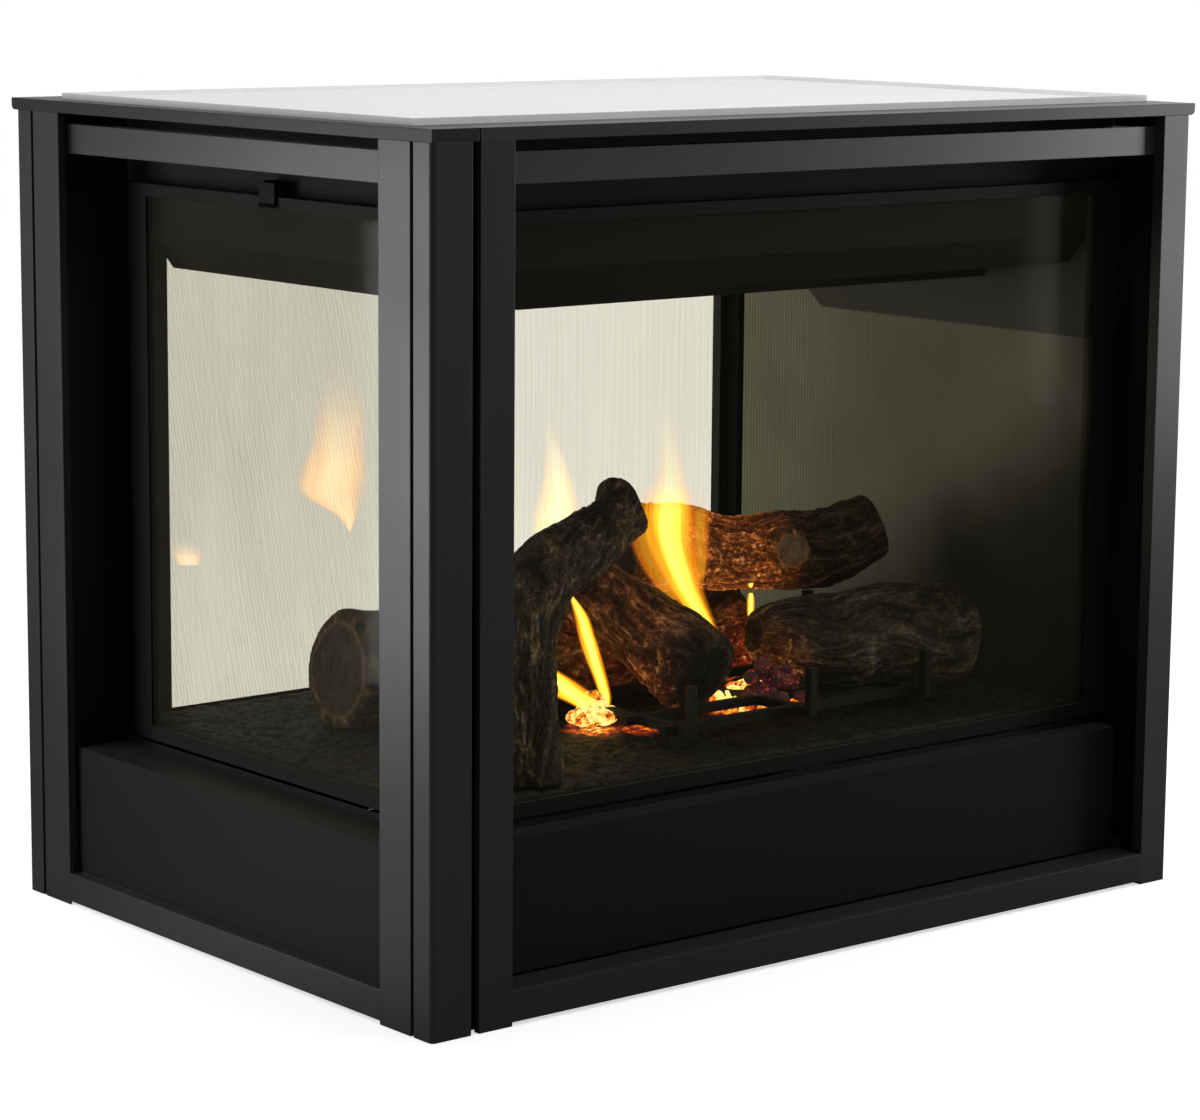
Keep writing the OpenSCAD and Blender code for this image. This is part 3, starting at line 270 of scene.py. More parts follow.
class Shader:
    """A material and its Principled shader, with short calls to add and link nodes."""

    def __init__(self, name, **values):
        self.material = bpy.data.materials.new(name)
        self.material.use_nodes = True
        self.tree = self.material.node_tree
        self.bsdf = self.tree.nodes["Principled BSDF"]
        for key, value in values.items():
            self.set(key.replace("_", " ").title(), value)

    def set(self, socket, value):
        """A plain value on one of the Principled shader's sockets."""
        self.bsdf.inputs[socket].default_value = value

    def feed(self, socket, value):
        """A link into one of the Principled shader's sockets."""
        self.tree.links.new(value, self.bsdf.inputs[socket])

    def add(self, kind, **values):
        """New node whose sockets or settings take the values."""
        made = self.tree.nodes.new(kind)
        for key, value in values.items():
            if key in made.inputs:
                made.inputs[key].default_value = value
            else:
                setattr(made, key, value)
        return made

    def link(self, a, b):
        self.tree.links.new(a, b)

    def group(self, tree, **values):
        made = self.tree.nodes.new("ShaderNodeGroup")
        made.node_tree = tree
        for key, value in values.items():
            made.inputs[key.replace("_", " ")].default_value = value
        return made

    def place(self, scale=(1, 1, 1)):
        """Object coordinates through a Mapping node."""
        coords = self.add("ShaderNodeTexCoord")
        return self.scaled(coords.outputs["Object"], scale)

    def map(self, scale):
        """The piece's own map through a Mapping node."""
        uv = self.add("ShaderNodeUVMap", uv_map="grain")
        return self.scaled(uv.outputs["UV"], scale)

    def scaled(self, vector, scale):
        """A vector through a Mapping node."""
        mapping = self.add("ShaderNodeMapping")
        mapping.inputs["Scale"].default_value = scale
        self.link(vector, mapping.inputs["Vector"])
        return mapping.outputs["Vector"]

    def mark(self, name):
        """A value that the piece's mesh holds for each point."""
        return self.add("ShaderNodeAttribute", attribute_name=name).outputs["Fac"]

    def noise(self, vector, scale, detail=4.0, roughness=0.55, distortion=0.0):
        """Cloudy noise, whose middle value is 0.5."""
        made = self.add("ShaderNodeTexNoise", Scale=scale, Detail=detail, Roughness=roughness,
                        Distortion=distortion)
        self.link(vector, made.inputs["Vector"])
        return made.outputs["Fac"]

    def cells(self, vector, scale):
        """A random grey for each cell of the given scale."""
        made = self.add("ShaderNodeTexVoronoi", Scale=scale)
        self.link(vector, made.inputs["Vector"])
        return self.axis(made.outputs["Color"], "X")

    def wave(self, vector, scale, distortion, direction, detail_scale):
        """Waves along X, Y or Z, from 0 to 1."""
        made = self.add("ShaderNodeTexWave", bands_direction=direction, Scale=scale, Distortion=distortion,
                        Detail=2.0)
        made.inputs["Detail Scale"].default_value = detail_scale
        self.link(vector, made.inputs["Vector"])
        return made.outputs["Fac"]

    def ramp(self, value, stops):
        """Colours by value, from (value, colour) stops."""
        made = self.add("ShaderNodeValToRGB")
        bar = made.color_ramp
        while len(bar.elements) < len(stops):
            bar.elements.new(0.5)
        for element, (at, colour) in zip(bar.elements, stops):
            element.position = at
            element.color = (*colour, 1)
        self.link(value, made.inputs["Fac"])
        return made.outputs["Color"]

    def math(self, kind, a, b=None, clamp=False):
        """One sum on sockets or numbers."""
        made = self.add("ShaderNodeMath", operation=kind, use_clamp=clamp)
        for socket, value in zip(made.inputs, (a, b)):
            if value is None:
                continue
            if isinstance(value, (int, float)):
                socket.default_value = value
            else:
                self.link(value, socket)
        return made.outputs[0]

    def times(self, *values):
        """Product of the values, which may be sockets or numbers."""
        total = values[0]
        for value in values[1:]:
            total = self.math("MULTIPLY", total, value)
        return total

    def total(self, *parts):
        """Sum of (value, weight) pairs."""
        sum_of = None
        for value, weight in parts:
            part = self.math("MULTIPLY", value, weight)
            sum_of = part if sum_of is None else self.math("ADD", sum_of, part)
        return sum_of

    def range(self, value, low, high, to_low=0.0, to_high=1.0, smooth=False):
        """The value carried from low and high to to_low and to_high."""
        made = self.add("ShaderNodeMapRange", interpolation_type="SMOOTHSTEP" if smooth else "LINEAR")
        self.link(value, made.inputs["Value"])
        for key, v in (("From Min", low), ("From Max", high), ("To Min", to_low), ("To Max", to_high)):
            made.inputs[key].default_value = v
        return made.outputs[0]

    def near(self, vector, centre, inner, outer):
        """1 within inner metres of a point in corner frame millimetres, falling smoothly to 0 at outer."""
        gap = self.add("ShaderNodeVectorMath", operation="DISTANCE")
        self.link(vector, gap.inputs[0])
        gap.inputs[1].default_value = metres(centre)
        return self.range(gap.outputs["Value"], inner, outer, 1.0, 0.0, smooth=True)

    def highest(self, values):
        """The largest of some values."""
        top = values[0]
        for value in values[1:]:
            top = self.math("MAXIMUM", top, value)
        return top

    def mix(self, factor, a, b, blend="MIX"):
        """Colours a and b blended by a factor, each a socket, a number or a colour."""
        made = self.add("ShaderNodeMix", data_type="RGBA", blend_type=blend)
        for socket, value in ((made.inputs[0], factor), (made.inputs[6], a), (made.inputs[7], b)):
            if isinstance(value, (int, float)):
                socket.default_value = value
            elif isinstance(value, tuple):
                socket.default_value = (*value, 1)
            else:
                self.link(value, socket)
        return made.outputs[2]

    def bump(self, height, strength, distance):
        """A height that tilts the shading, distance in metres."""
        made = self.add("ShaderNodeBump", Strength=strength, Distance=distance)
        self.link(height, made.inputs["Height"])
        self.feed("Normal", made.outputs["Normal"])

    def axis(self, vector, name):
        """X, Y or Z of a vector."""
        made = self.add("ShaderNodeSeparateXYZ")
        self.link(vector, made.inputs[0])
        return made.outputs[name]


def new_group(name, inputs, outputs):
    """Shader node group whose sockets are given as (name, kind, value)."""
    tree = bpy.data.node_groups.new(name, "ShaderNodeTree")
    kinds = {"value": "NodeSocketFloat", "colour": "NodeSocketColor", "vector": "NodeSocketVector"}
    for label, kind, value in inputs:
        socket = tree.interface.new_socket(name=label, in_out="INPUT", socket_type=kinds[kind])
        socket.default_value = value
    for label, kind in outputs:
        tree.interface.new_socket(name=label, in_out="OUTPUT", socket_type=kinds[kind])
    return tree, tree.nodes.new("NodeGroupInput"), tree.nodes.new("NodeGroupOutput")


class GroupNodes(Shader):
    """The same short calls inside a node group."""

    def __init__(self, tree):
        self.tree = tree


def build_coat_group():
    """Coated sheet: a fine orange peel in the height, a slow drift in the roughness, dust on level faces,
    rounded edges, and painted shade: a second, darker colour on what lies deeper behind the three glazed
    faces than Face Depth."""
    tree, inside, outside = new_group(
        "powder_coat",
        [("Colour", "colour", (0.03, 0.03, 0.03, 1)), ("Inner Colour", "colour", (0.004, 0.004, 0.004, 1)),
         ("Face Depth", "value", 9.0), ("Roughness", "value", 0.4), ("Peel Scale", "value", 900.0),
         ("Drift", "value", 0.08), ("Dust", "value", 0.1), ("Edge Radius", "value", 0.0012)],
        [("Colour", "colour"), ("Roughness", "value"), ("Normal", "vector")])
    g = GroupNodes(tree)
    coords = g.add("ShaderNodeTexCoord").outputs["Object"]
    peel = g.add("ShaderNodeTexNoise", Detail=2.0)
    g.link(coords, peel.inputs["Vector"])
    g.link(inside.outputs["Peel Scale"], peel.inputs["Scale"])
    slow = g.noise(coords, 7.0, 5.0)
    centred = g.math("SUBTRACT", slow, 0.5)
    rough = g.math("ADD", g.times(centred, inside.outputs["Drift"]), inside.outputs["Roughness"])
    u, v = g.axis(coords, "X"), g.axis(coords, "Y")
    left, front = metres([0, 0, 0])[:2]
    rear = metres([0, BODY_D, 0])[1]
    depth = g.math("MINIMUM", g.math("SUBTRACT", u, float(left)), g.math("SUBTRACT", v, float(front)))
    depth = g.math("MINIMUM", depth, g.math("SUBTRACT", float(rear), v))
    # Painted shade: what lies deeper in the recess than Face Depth takes the darker shade colour.
    deep = g.math("GREATER_THAN", depth, inside.outputs["Face Depth"])
    coat_with_painted_shade = g.mix(deep, inside.outputs["Colour"], inside.outputs["Inner Colour"])
    level = g.range(g.axis(g.add("ShaderNodeNewGeometry").outputs["Normal"], "Z"), 0.6, 1.0)
    dust = g.times(level, g.noise(coords, 160.0, 3.0), inside.outputs["Dust"])
    tint = g.mix(dust, coat_with_painted_shade, (0.4, 0.39, 0.37))
    bevel = g.add("ShaderNodeBevel", samples=4)
    g.link(inside.outputs["Edge Radius"], bevel.inputs["Radius"])
    bump = g.add("ShaderNodeBump", Strength=0.12, Distance=0.0004)
    g.link(peel.outputs["Fac"], bump.inputs["Height"])
    g.link(bevel.outputs["Normal"], bump.inputs["Normal"])
    g.link(tint, outside.inputs["Colour"])
    g.link(rough, outside.inputs["Roughness"])
    g.link(bump.outputs["Normal"], outside.inputs["Normal"])
    return tree


def coated(name, coat, colour, roughness, specular=0.5, dust=0.1, peel=900.0, inner=None, face_depth=9.0):
    """Coated sheet metal from the powder coat group: one colour, or with a black painted shade on what lies
    deeper in the recess than the face depth."""
    shader = Shader(name)
    shader.set("Specular IOR Level", specular)
    group = shader.group(coat, Colour=(*colour, 1), Inner_Colour=(*(inner or colour), 1),
                         Face_Depth=face_depth / MM, Roughness=roughness, Peel_Scale=peel, Drift=0.1,
                         Dust=dust, Edge_Radius=0.0012)
    shader.feed("Base Color", group.outputs["Colour"])
    shader.feed("Roughness", group.outputs["Roughness"])
    shader.feed("Normal", group.outputs["Normal"])
    return shader


def zinc_shade(shader, at):
    """Zinc spangle: flat cells that each take a slightly different grey, with a slow cloud over them."""
    return shader.total((shader.cells(at, 120.0), 0.22), (shader.noise(at, 9.0), 0.78))


def galvanised(name, dark, light, roughness, metallic=1.0):
    """Zinc coated sheet, or the same under a pale passivated film where metallic is 0."""
    shader = Shader(name, metallic=metallic)
    at = shader.place()
    shade = zinc_shade(shader, at)
    shader.feed("Base Color", shader.ramp(shade, [(0.25, dark), (0.75, light)]))
    shader.feed("Roughness", shader.range(shade, 0.2, 0.8, roughness + 0.07, roughness - 0.07))
    shader.bump(shader.noise(at, 300.0, 2.0), 0.08, 0.0003)
    return shader.material


# Depth in millimetres, from the solid end's outer face, of the casing's zinc side
CASING_SKIN = 2.4


def end_casing_sheet(name):
    """End casing: zinc outside, and near black on the jambs that close the openings from inside, a painted
    shade of the recess.
    """
    shader = Shader(name)
    shader.set("Specular IOR Level", 0.05)
    at = shader.place()
    shade = zinc_shade(shader, at)
    inner_face = float(metres([BODY_W - CASING_SKIN, 0, 0])[0])
    outer = shader.math("GREATER_THAN", shader.axis(at, "X"), inner_face)
    zinc = shader.ramp(shade, [(0.25, (0.5, 0.52, 0.54)), (0.75, (0.72, 0.74, 0.76))])
    # Painted shade: the jambs inside the openings are near black.
    jamb_painted_shade = shader.ramp(shader.noise(at, 8.0), [(0.3, (0.002, 0.002, 0.002)), (0.8, (0.006, 0.006, 0.006))])
    shader.feed("Base Color", shader.mix(outer, jamb_painted_shade, zinc))
    shader.feed("Metallic", outer)
    shader.feed("Roughness", shader.range(shade, 0.2, 0.8, 0.48, 0.36))
    shader.bump(shader.noise(at, 300.0, 2.0), 0.08, 0.0003)
    return shader.material


# What the glass body lets through, and how fast the rest is lost, per metre
GLASS_TINT = (1.0, 0.875, 0.18, 1)
GLASS_LOSS = 20.0


def glass(name, film, haze, slant=0.0, streak=0.032):
    """Ceramic glass as a faint smoky film on each face, clear straight on and closing towards grazing angles,
    with fine wavy streaks that may lean, and an amber body that takes a little blue out of what is seen
    through it."""
    shader = Shader(name, metallic=0.0, transmission_weight=0.0)
    shader.set("Base Color", (*haze, 1))
    shader.set("Specular IOR Level", 0.12)
    at = shader.place()
    x, y, z = (shader.axis(at, name) for name in "XYZ")
    streaks = shader.add("ShaderNodeCombineXYZ")
    shader.link(shader.total((x, 1.0), (y, 1.0), (z, slant)), streaks.inputs["X"])
    shader.link(shader.times(z, 0.05), streaks.inputs["Y"])
    ripple = shader.wave(streaks.outputs["Vector"], 46.0, 7.0, "X", 1.6)
    fine = shader.noise(streaks.outputs["Vector"], 160.0, 2.0)
    drift = shader.noise(shader.place((3, 3, 1.2)), 2.0, 3.0)
    strong = shader.times(ripple, shader.range(drift, 0.35, 0.6, 0.3, 1.0))
    rim = shader.add("ShaderNodeLayerWeight", Blend=0.12).outputs["Fresnel"]
    smoke = shader.total((strong, streak), (fine, 0.03), (drift, 0.03), (rim, 0.16))
    shader.feed("Alpha", shader.math("ADD", smoke, film, clamp=True))
    shader.feed("Roughness", shader.range(drift, 0.3, 0.7, 0.03, 0.09))
    amber = shader.add("ShaderNodeVolumeAbsorption", Color=GLASS_TINT, Density=GLASS_LOSS)
    shader.link(amber.outputs["Volume"], shader.tree.nodes["Material Output"].inputs["Volume"])
    return shader.material


# End liner, in metres. EDGE: y where the painted shade of the front edge is full, and where it ends.
# LINE: heights at mid depth where the darkening below is full and where it ends, and their rise towards
# the front. BAND: heights where the dark band at the top starts and is full, y behind which they climb,
# and how steeply.
LINER_EDGE = (-0.36, -0.23)
LINER_LINE = (0.24, 0.45, 0.7)
LINER_BAND = (0.629, 0.632, 0.144, 0.75)


def enamel_liner(name):
    """Dark enamel of the end liner: a fine upright reed, paler grey green at its rear and browner towards the
    front; the paler rear with its lighter reeds is a painted reflection. Painted shade darkens its front
    edge, and it is darker below a line that rises towards the front and in a band at its top, which is
    level in the front half and climbs behind it. The front edge and what lies below the line are rougher."""
    shader = Shader(name)
    shader.set("Specular IOR Level", 0.35)
    at = shader.place()
    y, z = shader.axis(at, "Y"), shader.axis(at, "Z")
    cloud = shader.noise(at, 5.0, 5.0)
    # Painted shade: darker towards the front edge.
    edge = shader.range(y, *LINER_EDGE, 1.0, 0.0, smooth=True)
    full, clear, rise = LINER_LINE
    low = shader.range(shader.total((z, 1.0), (y, rise)), full, clear, 1.0, 0.0, smooth=True)
    patches = shader.range(cloud, 0.3, 0.7, -0.12, 0.22)
    # soot holds the painted shade of the front edge, the darkening below the line and cloudy patches.
    soot = shader.math("ADD", shader.math("MAXIMUM", edge, low), patches, clamp=True)
    # Painted reflection: paler grey green towards the rear, with lighter reeds there.
    rear = shader.range(y, -0.1, 0.25, 0.0, 1.0, smooth=True)
    reeds = shader.wave(shader.place((1, 1, 0.05)), 60.0, 2.5, "Y", 0.5)
    weft = shader.wave(at, 90.0, 1.5, "Z", 0.5)
    mesh = shader.times(shader.total((reeds, 0.75), (weft, 0.25)), rear)
    painted_reflection_colour = shader.mix(rear, (0.21, 0.19, 0.132), (0.17, 0.182, 0.132))
    painted_reflection_colour = shader.mix(shader.times(mesh, 0.75), painted_reflection_colour, (0.39, 0.41, 0.31))
    sooted = shader.mix(soot, painted_reflection_colour, (0.017, 0.0168, 0.0148))
    start, full, bend, climb = LINER_BAND
    behind = shader.math("MAXIMUM", shader.math("SUBTRACT", y, bend), 0.0)
    height = shader.math("SUBTRACT", z, shader.times(behind, climb))
    band = shader.range(height, start, full, 0.0, 0.92, smooth=True)
    shader.feed("Base Color", shader.mix(band, sooted, (0.03, 0.0295, 0.026)))
    shader.feed("Roughness", shader.range(soot, 0, 1, 0.34, 0.7))
    shader.bump(shader.times(reeds, rear), 0.2, 0.0005)
    return shader.material


# Bark tones from the furrows, a painted shade, to the pale golden crests, a painted highlight
BROWN = ((0.009, 0.006, 0.004), (0.06, 0.035, 0.016), (0.19, 0.11, 0.05), (0.52, 0.34, 0.16))
GREY = ((0.005, 0.0038, 0.0026), (0.032, 0.022, 0.014), (0.102, 0.07, 0.042), (0.44, 0.305, 0.17))
BLACK = ((0.007, 0.006, 0.004), (0.042, 0.032, 0.019), (0.11, 0.085, 0.05), (0.27, 0.2, 0.115))
CHAR = (0.006, 0.005, 0.005)
SOOT = (0.006, 0.0058, 0.0035)
# Light of the hot wood and of the sparks in it
EMBER_RED = (0.06, 0.0035, 0.001)
SPARK = (0.45, 0.17, 0.05)


def bark(name, tones, char, glows, cut=(0.09, 0.062, 0.038), sparks=95.0, fire=(1.0, 0.4, 0.14),
         soot=None):
    """Moulded log: dark furrows and golden crests from the relief mark, a painted shade and a painted
    highlight, with bright strands and a bright rim round the broken face as painted highlights too, char in
    patches, a paler broken face where the log is cut, soot round one point (centre, inner and outer reach),
    and painted firelight: the bark's colour tinted by fire and a little ember red given off as light, with a
    few live sparks, round each glow (centre, inner and outer reach, strength)."""
    shader = Shader(name)
    shader.set("Specular IOR Level", 0.3)
    relief = shader.mark("relief")
    fibres = shader.noise(shader.map((30, 14, 1)), 3.0, 8.0, 0.7)
    at = shader.place()
    grit = shader.noise(at, 260.0, 4.0, 0.72)
    patch = shader.noise(at, 14.0, 5.0)
    tone = shader.total((relief, 0.45), (fibres, 0.5), (grit, 0.3))
    # Painted shade in the furrows and painted highlight on the crests, from the relief mark.
    colour = shader.ramp(tone, list(zip((0.48, 0.62, 0.72, 0.82), tones)))
    # Painted highlight: bright strands along the crests.
    split = shader.math("SUBTRACT", shader.noise(shader.map((26, 16, 1)), 3.0, 3.0, 0.6, 0.8), 0.5)
    strand_highlight = shader.range(shader.math("ABSOLUTE", split), 0.0, 0.024, 1.0, 0.0)
    strand_highlight = shader.times(strand_highlight, shader.range(grit, 0.42, 0.6), shader.range(relief, 0.35, 0.7), 0.75)
    colour = shader.mix(strand_highlight, colour, tones[3])
    charred = shader.range(patch, 0.40, 0.62, 0.0, char, smooth=True)
    colour = shader.mix(charred, colour, CHAR)
    rings = shader.noise(shader.place((1, 1, 0.3)), 120.0, 4.0, 0.7)
    face = shader.mix(shader.range(rings, 0.35, 0.65), tuple(c * 0.35 for c in cut), cut)
    broken = shader.mark("cut")
    colour = shader.mix(broken, colour, face)
    # Painted highlight: a bright rim round the broken face.
    rim = shader.times(shader.range(broken, 0.02, 0.2), shader.range(broken, 0.55, 0.3),
                       shader.range(grit, 0.4, 0.62), 0.5)
    colour = shader.mix(rim, colour, tones[3])
    if soot:
        centre, inner, outer = soot
        sooted = shader.times(shader.near(at, centre, inner / MM, outer / MM), 0.93)
        colour = shader.mix(sooted, colour, SOOT)
    shader.feed("Base Color", colour)
    shader.feed("Roughness", shader.range(grit, 0.2, 0.8, 0.95, 0.62))
    shader.bump(shader.total((fibres, 1.0), (grit, 0.7)), 1.0, 0.0028)
    # Painted firelight: the bark's own colour, tinted by fire, given off as light near each glow.
    heat = shader.highest([
        shader.times(shader.near(at, centre, inner / MM, outer / MM), strength)
        for centre, inner, outer, strength in glows])
    heat = shader.times(heat, shader.range(broken, 0.0, 0.6, 1.0, 0.25))
    painted_firelight = shader.mix(0.15, shader.mix(1.0, colour, fire, "MULTIPLY"), EMBER_RED)
    firelight_reach = shader.times(heat, shader.range(grit, 0.3, 0.62, 0.2, 1.0))
    painted_firelight = shader.mix(firelight_reach, (0.0, 0.0, 0.0), painted_firelight)
    specks = shader.range(shader.noise(at, sparks, 3.0, 0.7, 0.4), 0.55, 0.65)
    specks = shader.times(heat, specks, shader.range(relief, 0.3, 0.7))
    shader.feed("Emission Color", shader.mix(specks, painted_firelight, SPARK))
    shader.set("Emission Strength", 2.6)
    return shader.material


# Lights and floor

# Strength of the surroundings where they only light things
SKY_LIGHT = 0.5
# Half the floor's side and its depth below the pan, in metres
FLOOR_HALF, FLOOR_DROP = 9.0, 0.0005
# Pale patch of the floor in reflections: middle, and its inner and outer reach in metres
PATCH, PATCH_INNER, PATCH_OUTER = (-250, 380, 0), 0.12, 0.6
# Lamps: name, place, aim, width, height and power, in metres and watts
LAMPS = (
    ("lamp_top", (0.3, -0.4, 3.0), (0, 0, 0.4), 2.2, 2.2, 26),
    ("lamp_left", (-1.56, 0.85, 0.45), (-0.56, -0.30, 0.46), 0.56, 0.86, 10.2),
    ("lamp_right", (1.76, -1.27, 0.74), (0.5, -0.39, 0.62), 0.6, 0.8, 9.5),
)


def add_lamp(name, at, aim, width, height, power):
    """Rectangular lamp at one point, aimed at another."""
    data = bpy.data.lights.new(name, "AREA")
    data.shape = "RECTANGLE"
    data.size, data.size_y = width, height
    data.energy = power
    light = bpy.data.objects.new(name, data)
    light.location = at
    light.rotation_mode = "QUATERNION"
    light.rotation_quaternion = (Vector(aim) - Vector(at)).to_track_quat("-Z", "Y")
    light.visible_camera = False
    bpy.context.scene.collection.objects.link(light)


def seen_rays(shader, glossy):
    """1 for camera and transmission rays, glossy for glossy rays, 0 for the light that falls on things."""
    path = shader.add("ShaderNodeLightPath")
    shine = shader.times(path.outputs["Is Glossy Ray"], glossy)
    seen = shader.math("MAXIMUM", path.outputs["Is Camera Ray"], path.outputs["Is Transmission Ray"])
    return shader.math("MAXIMUM", seen, shine), path.outputs["Is Glossy Ray"]


def add_sky():
    """White surroundings that reflect darker, most so from the front and least from the far right."""
    world = bpy.data.worlds.new("studio")
    bpy.context.scene.world = world
    world.use_nodes = True
    sky = GroupNodes(world.node_tree)
    back = sky.tree.nodes["Background"]
    seen, glossy = seen_rays(sky, 1.0)
    way = sky.add("ShaderNodeTexCoord").outputs["Generated"]
    x, y = sky.axis(way, "X"), sky.axis(way, "Y")
    front = sky.range(y, 0.2, -0.5, 0.35, 0.72, smooth=True)
    right = sky.range(x, 0.6, 0.85, 0.0, 0.5, smooth=True)
    dim = sky.times(sky.math("SUBTRACT", front, right), glossy)
    level = sky.math("SUBTRACT", sky.range(seen, 0, 1, SKY_LIGHT, 1.0), dim)
    sky.link(level, back.inputs["Strength"])
    back.inputs["Color"].default_value = (1, 1, 1, 1)


def add_floor():
    """Pale floor, one square, that keeps the shadow. It reflects darker than it looks, most so towards the
    rear, but for a pale patch left of the body."""
    corners = [(x * FLOOR_HALF, y * FLOOR_HALF, -FLOOR_DROP) for x, y in ((-1, -1), (1, -1), (1, 1), (-1, 1))]
    mesh = bpy.data.meshes.new("floor")
    mesh.from_pydata(corners, [], [(0, 1, 2, 3)])
    floor = bpy.data.objects.new("floor", mesh)
    bpy.context.scene.collection.objects.link(floor)
    shader = Shader("pale_floor")
    seen, shine = seen_rays(shader, 0.0)
    at = shader.place()
    patch = shader.near(at, PATCH, PATCH_INNER, PATCH_OUTER)
    dark = shader.range(shader.axis(at, "Y"), 0.3, 0.8, 0.3, 0.1, smooth=True)
    tone = shader.math("MAXIMUM", patch, dark)
    shader.feed("Base Color", shader.mix(shine, (0.82, 0.82, 0.82), tone))
    shader.set("Roughness", 0.9)
    shader.set("Specular IOR Level", 0.1)
    shader.set("Emission Color", (1, 1, 1, 1))
    shader.feed("Emission Strength", shader.times(seen, 0.6))
    mesh.materials.append(shader.material)


def add_studio():
    """Sky and floor, a soft lamp above, and a soft lamp beside each of the two faces that the camera sees."""
    bpy.context.scene.view_settings.view_transform = "Standard"
    add_sky()
    add_floor()
    for lamp in LAMPS:
        add_lamp(*lamp)


# Log set

# Paths of the logs: x and y from the near corner of the bed, z above the seat, and radius
BRANCH = [[133, 42, -2, 37], [135, 50, 46, 33], [143, 58, 100, 33], [160, 80, 156, 36],
          [222, 126, 203, 37], [318, 176, 218, 34], [386, 211, 233, 29], [411, 225, 247, 35]]
CROSS = [[452, 132, 38, 50], [445, 194, 64, 48], [426, 274, 104, 41], [412, 344, 138, 35]]
BACK = [[504, 350, 56, 58], [594, 342, 53, 51], [664, 316, 45, 42], [738, 268, 47, 44], [809, 229, 74, 39]]
STUB = [[700, 290, 50, 25], [690, 262, 53, 25], [681, 238, 56, 25]]
RIGHT = [[562, 170, 64, 26], [586, 166, 62, 38], [614, 158, 59, 47], [660, 145, 55, 53],
         [734, 124, 53, 56], [822, 98, 51, 54]]
LEFT = [[128, 378, 68, 67], [234, 372, 62, 64], [364, 360, 55, 60], [544, 357, 52, 59], [684, 358, 54, 58]]
# Distance from the bed's left edge past which the left log carries the back log
LEFT_LOAD = 440


def add_logs():
    """The five logs along the same paths as their solids, and the stub of the back log."""
    bed, grate, back_seat = BED + SEAT_GAP, GRATE + SEAT_GAP, BACK_SEAT + SEAT_GAP
    branch = bark_log("branch_log_bark", ["branch_log"], BRANCH, BED, seat=bed, seed=11, rough=2.8,
                      lobes=0.24, sides=210, rings=340)
    cross = bark_log("cross_log_bark", ["cross_log"], CROSS, GRATE, seat=grate, seed=23, rough=2.6, sides=250,
                     rings=240)
    back = bark_log("back_log_bark", ["back_log"], BACK, BACK_SEAT, seat=back_seat, seed=37, rough=3.4,
                    lobes=0.1, sides=240, rings=290)
    stub = bark_log("back_log_stub", [], STUB, BACK_SEAT, seat=back_seat, seed=43, rough=1.6, sides=110,
                    rings=50)
    right = bark_log("right_log_bark", ["right_log"], RIGHT, GRATE, seat=grate, seed=51, rough=2.8, sides=250,
                     rings=260)
    left = bark_log("left_log_bark", ["left_log"], LEFT, BED, seat=bed, load=BACK_SEAT,
                    load_u=BED_LOW[0] + LEFT_LOAD, seed=67, rough=3.0, sides=250, rings=360)
    for obj, material in (
            (branch, bark("bark_grey", GREY, 0.35, [([440, 270, 250], 30, 130, 0.35)])),
            (cross, bark("bark_brown", BROWN, 0.4,
                         [([462, 262, 250], 20, 85, 0.75), ([486, 330, 290], 45, 140, 0.22)],
                         cut=(0.02, 0.016, 0.011), fire=(1.0, 0.26, 0.08), soot=([535, 222, 262], 30, 82))),
            (back, bark("bark_charred", BROWN, 0.5, [([708, 398, 356], 50, 122, 0.85)], sparks=200.0,
                        soot=([870, 320, 300], 20, 120))),
            (stub, bark("bark_cut", BROWN, 0.1, [([745, 350, 350], 20, 90, 0.3)], cut=(0.4, 0.33, 0.24))),
            (right, bark("bark_dark", BLACK, 0.5, [([668, 262, 262], 20, 75, 0.7)],
                         cut=(0.03, 0.022, 0.016))),
            (left, bark("bark_left", BROWN, 0.4,
                        [([770, 400, 222], 30, 95, 0.8), ([560, 400, 300], 30, 110, 0.2)],
                        cut=(0.13, 0.095, 0.065), fire=(1.0, 0.13, 0.03)))):
        obj.data.materials.append(material)


# Embers

# Hot places on the bed: u, v, reach and heat
HOT_SPOTS = ((450, 300, 50, 1.0), (496, 276, 52, 0.55), (640, 290, 44, 0.9), (690, 300, 54, 0.9),
             (748, 300, 44, 0.7))
# Height of their middles above the bed's level, and their inner reach in metres
HOT_LIFT, HOT_CORE = 12, 0.006
# Lava stones: grid step, side of a stone's cell, inset from the bed's edge, depth of the gaps between stones
# under the bed's level, least height and spread of a stone, and height of its grain
STONE_STEP, STONE_CELL, STONE_INSET = 2.4, 11.0, 0.5
STONE_GAP, STONE_LOW, STONE_SPREAD, STONE_GRAIN = 3.4, 1.8, 4.4, 1.6
# Where something stands in the stones: u, v and radius
BRANCH_FOOT = (BED_LOW[0] + 140, BED_LOW[1] + 46, 40)
PILOT_FOOT = (400, 590, 26)
GRATE_FEET = [(u, v, 9) for u in (468, 822) for v in (180, 380)]
FOOT_EDGE = 10


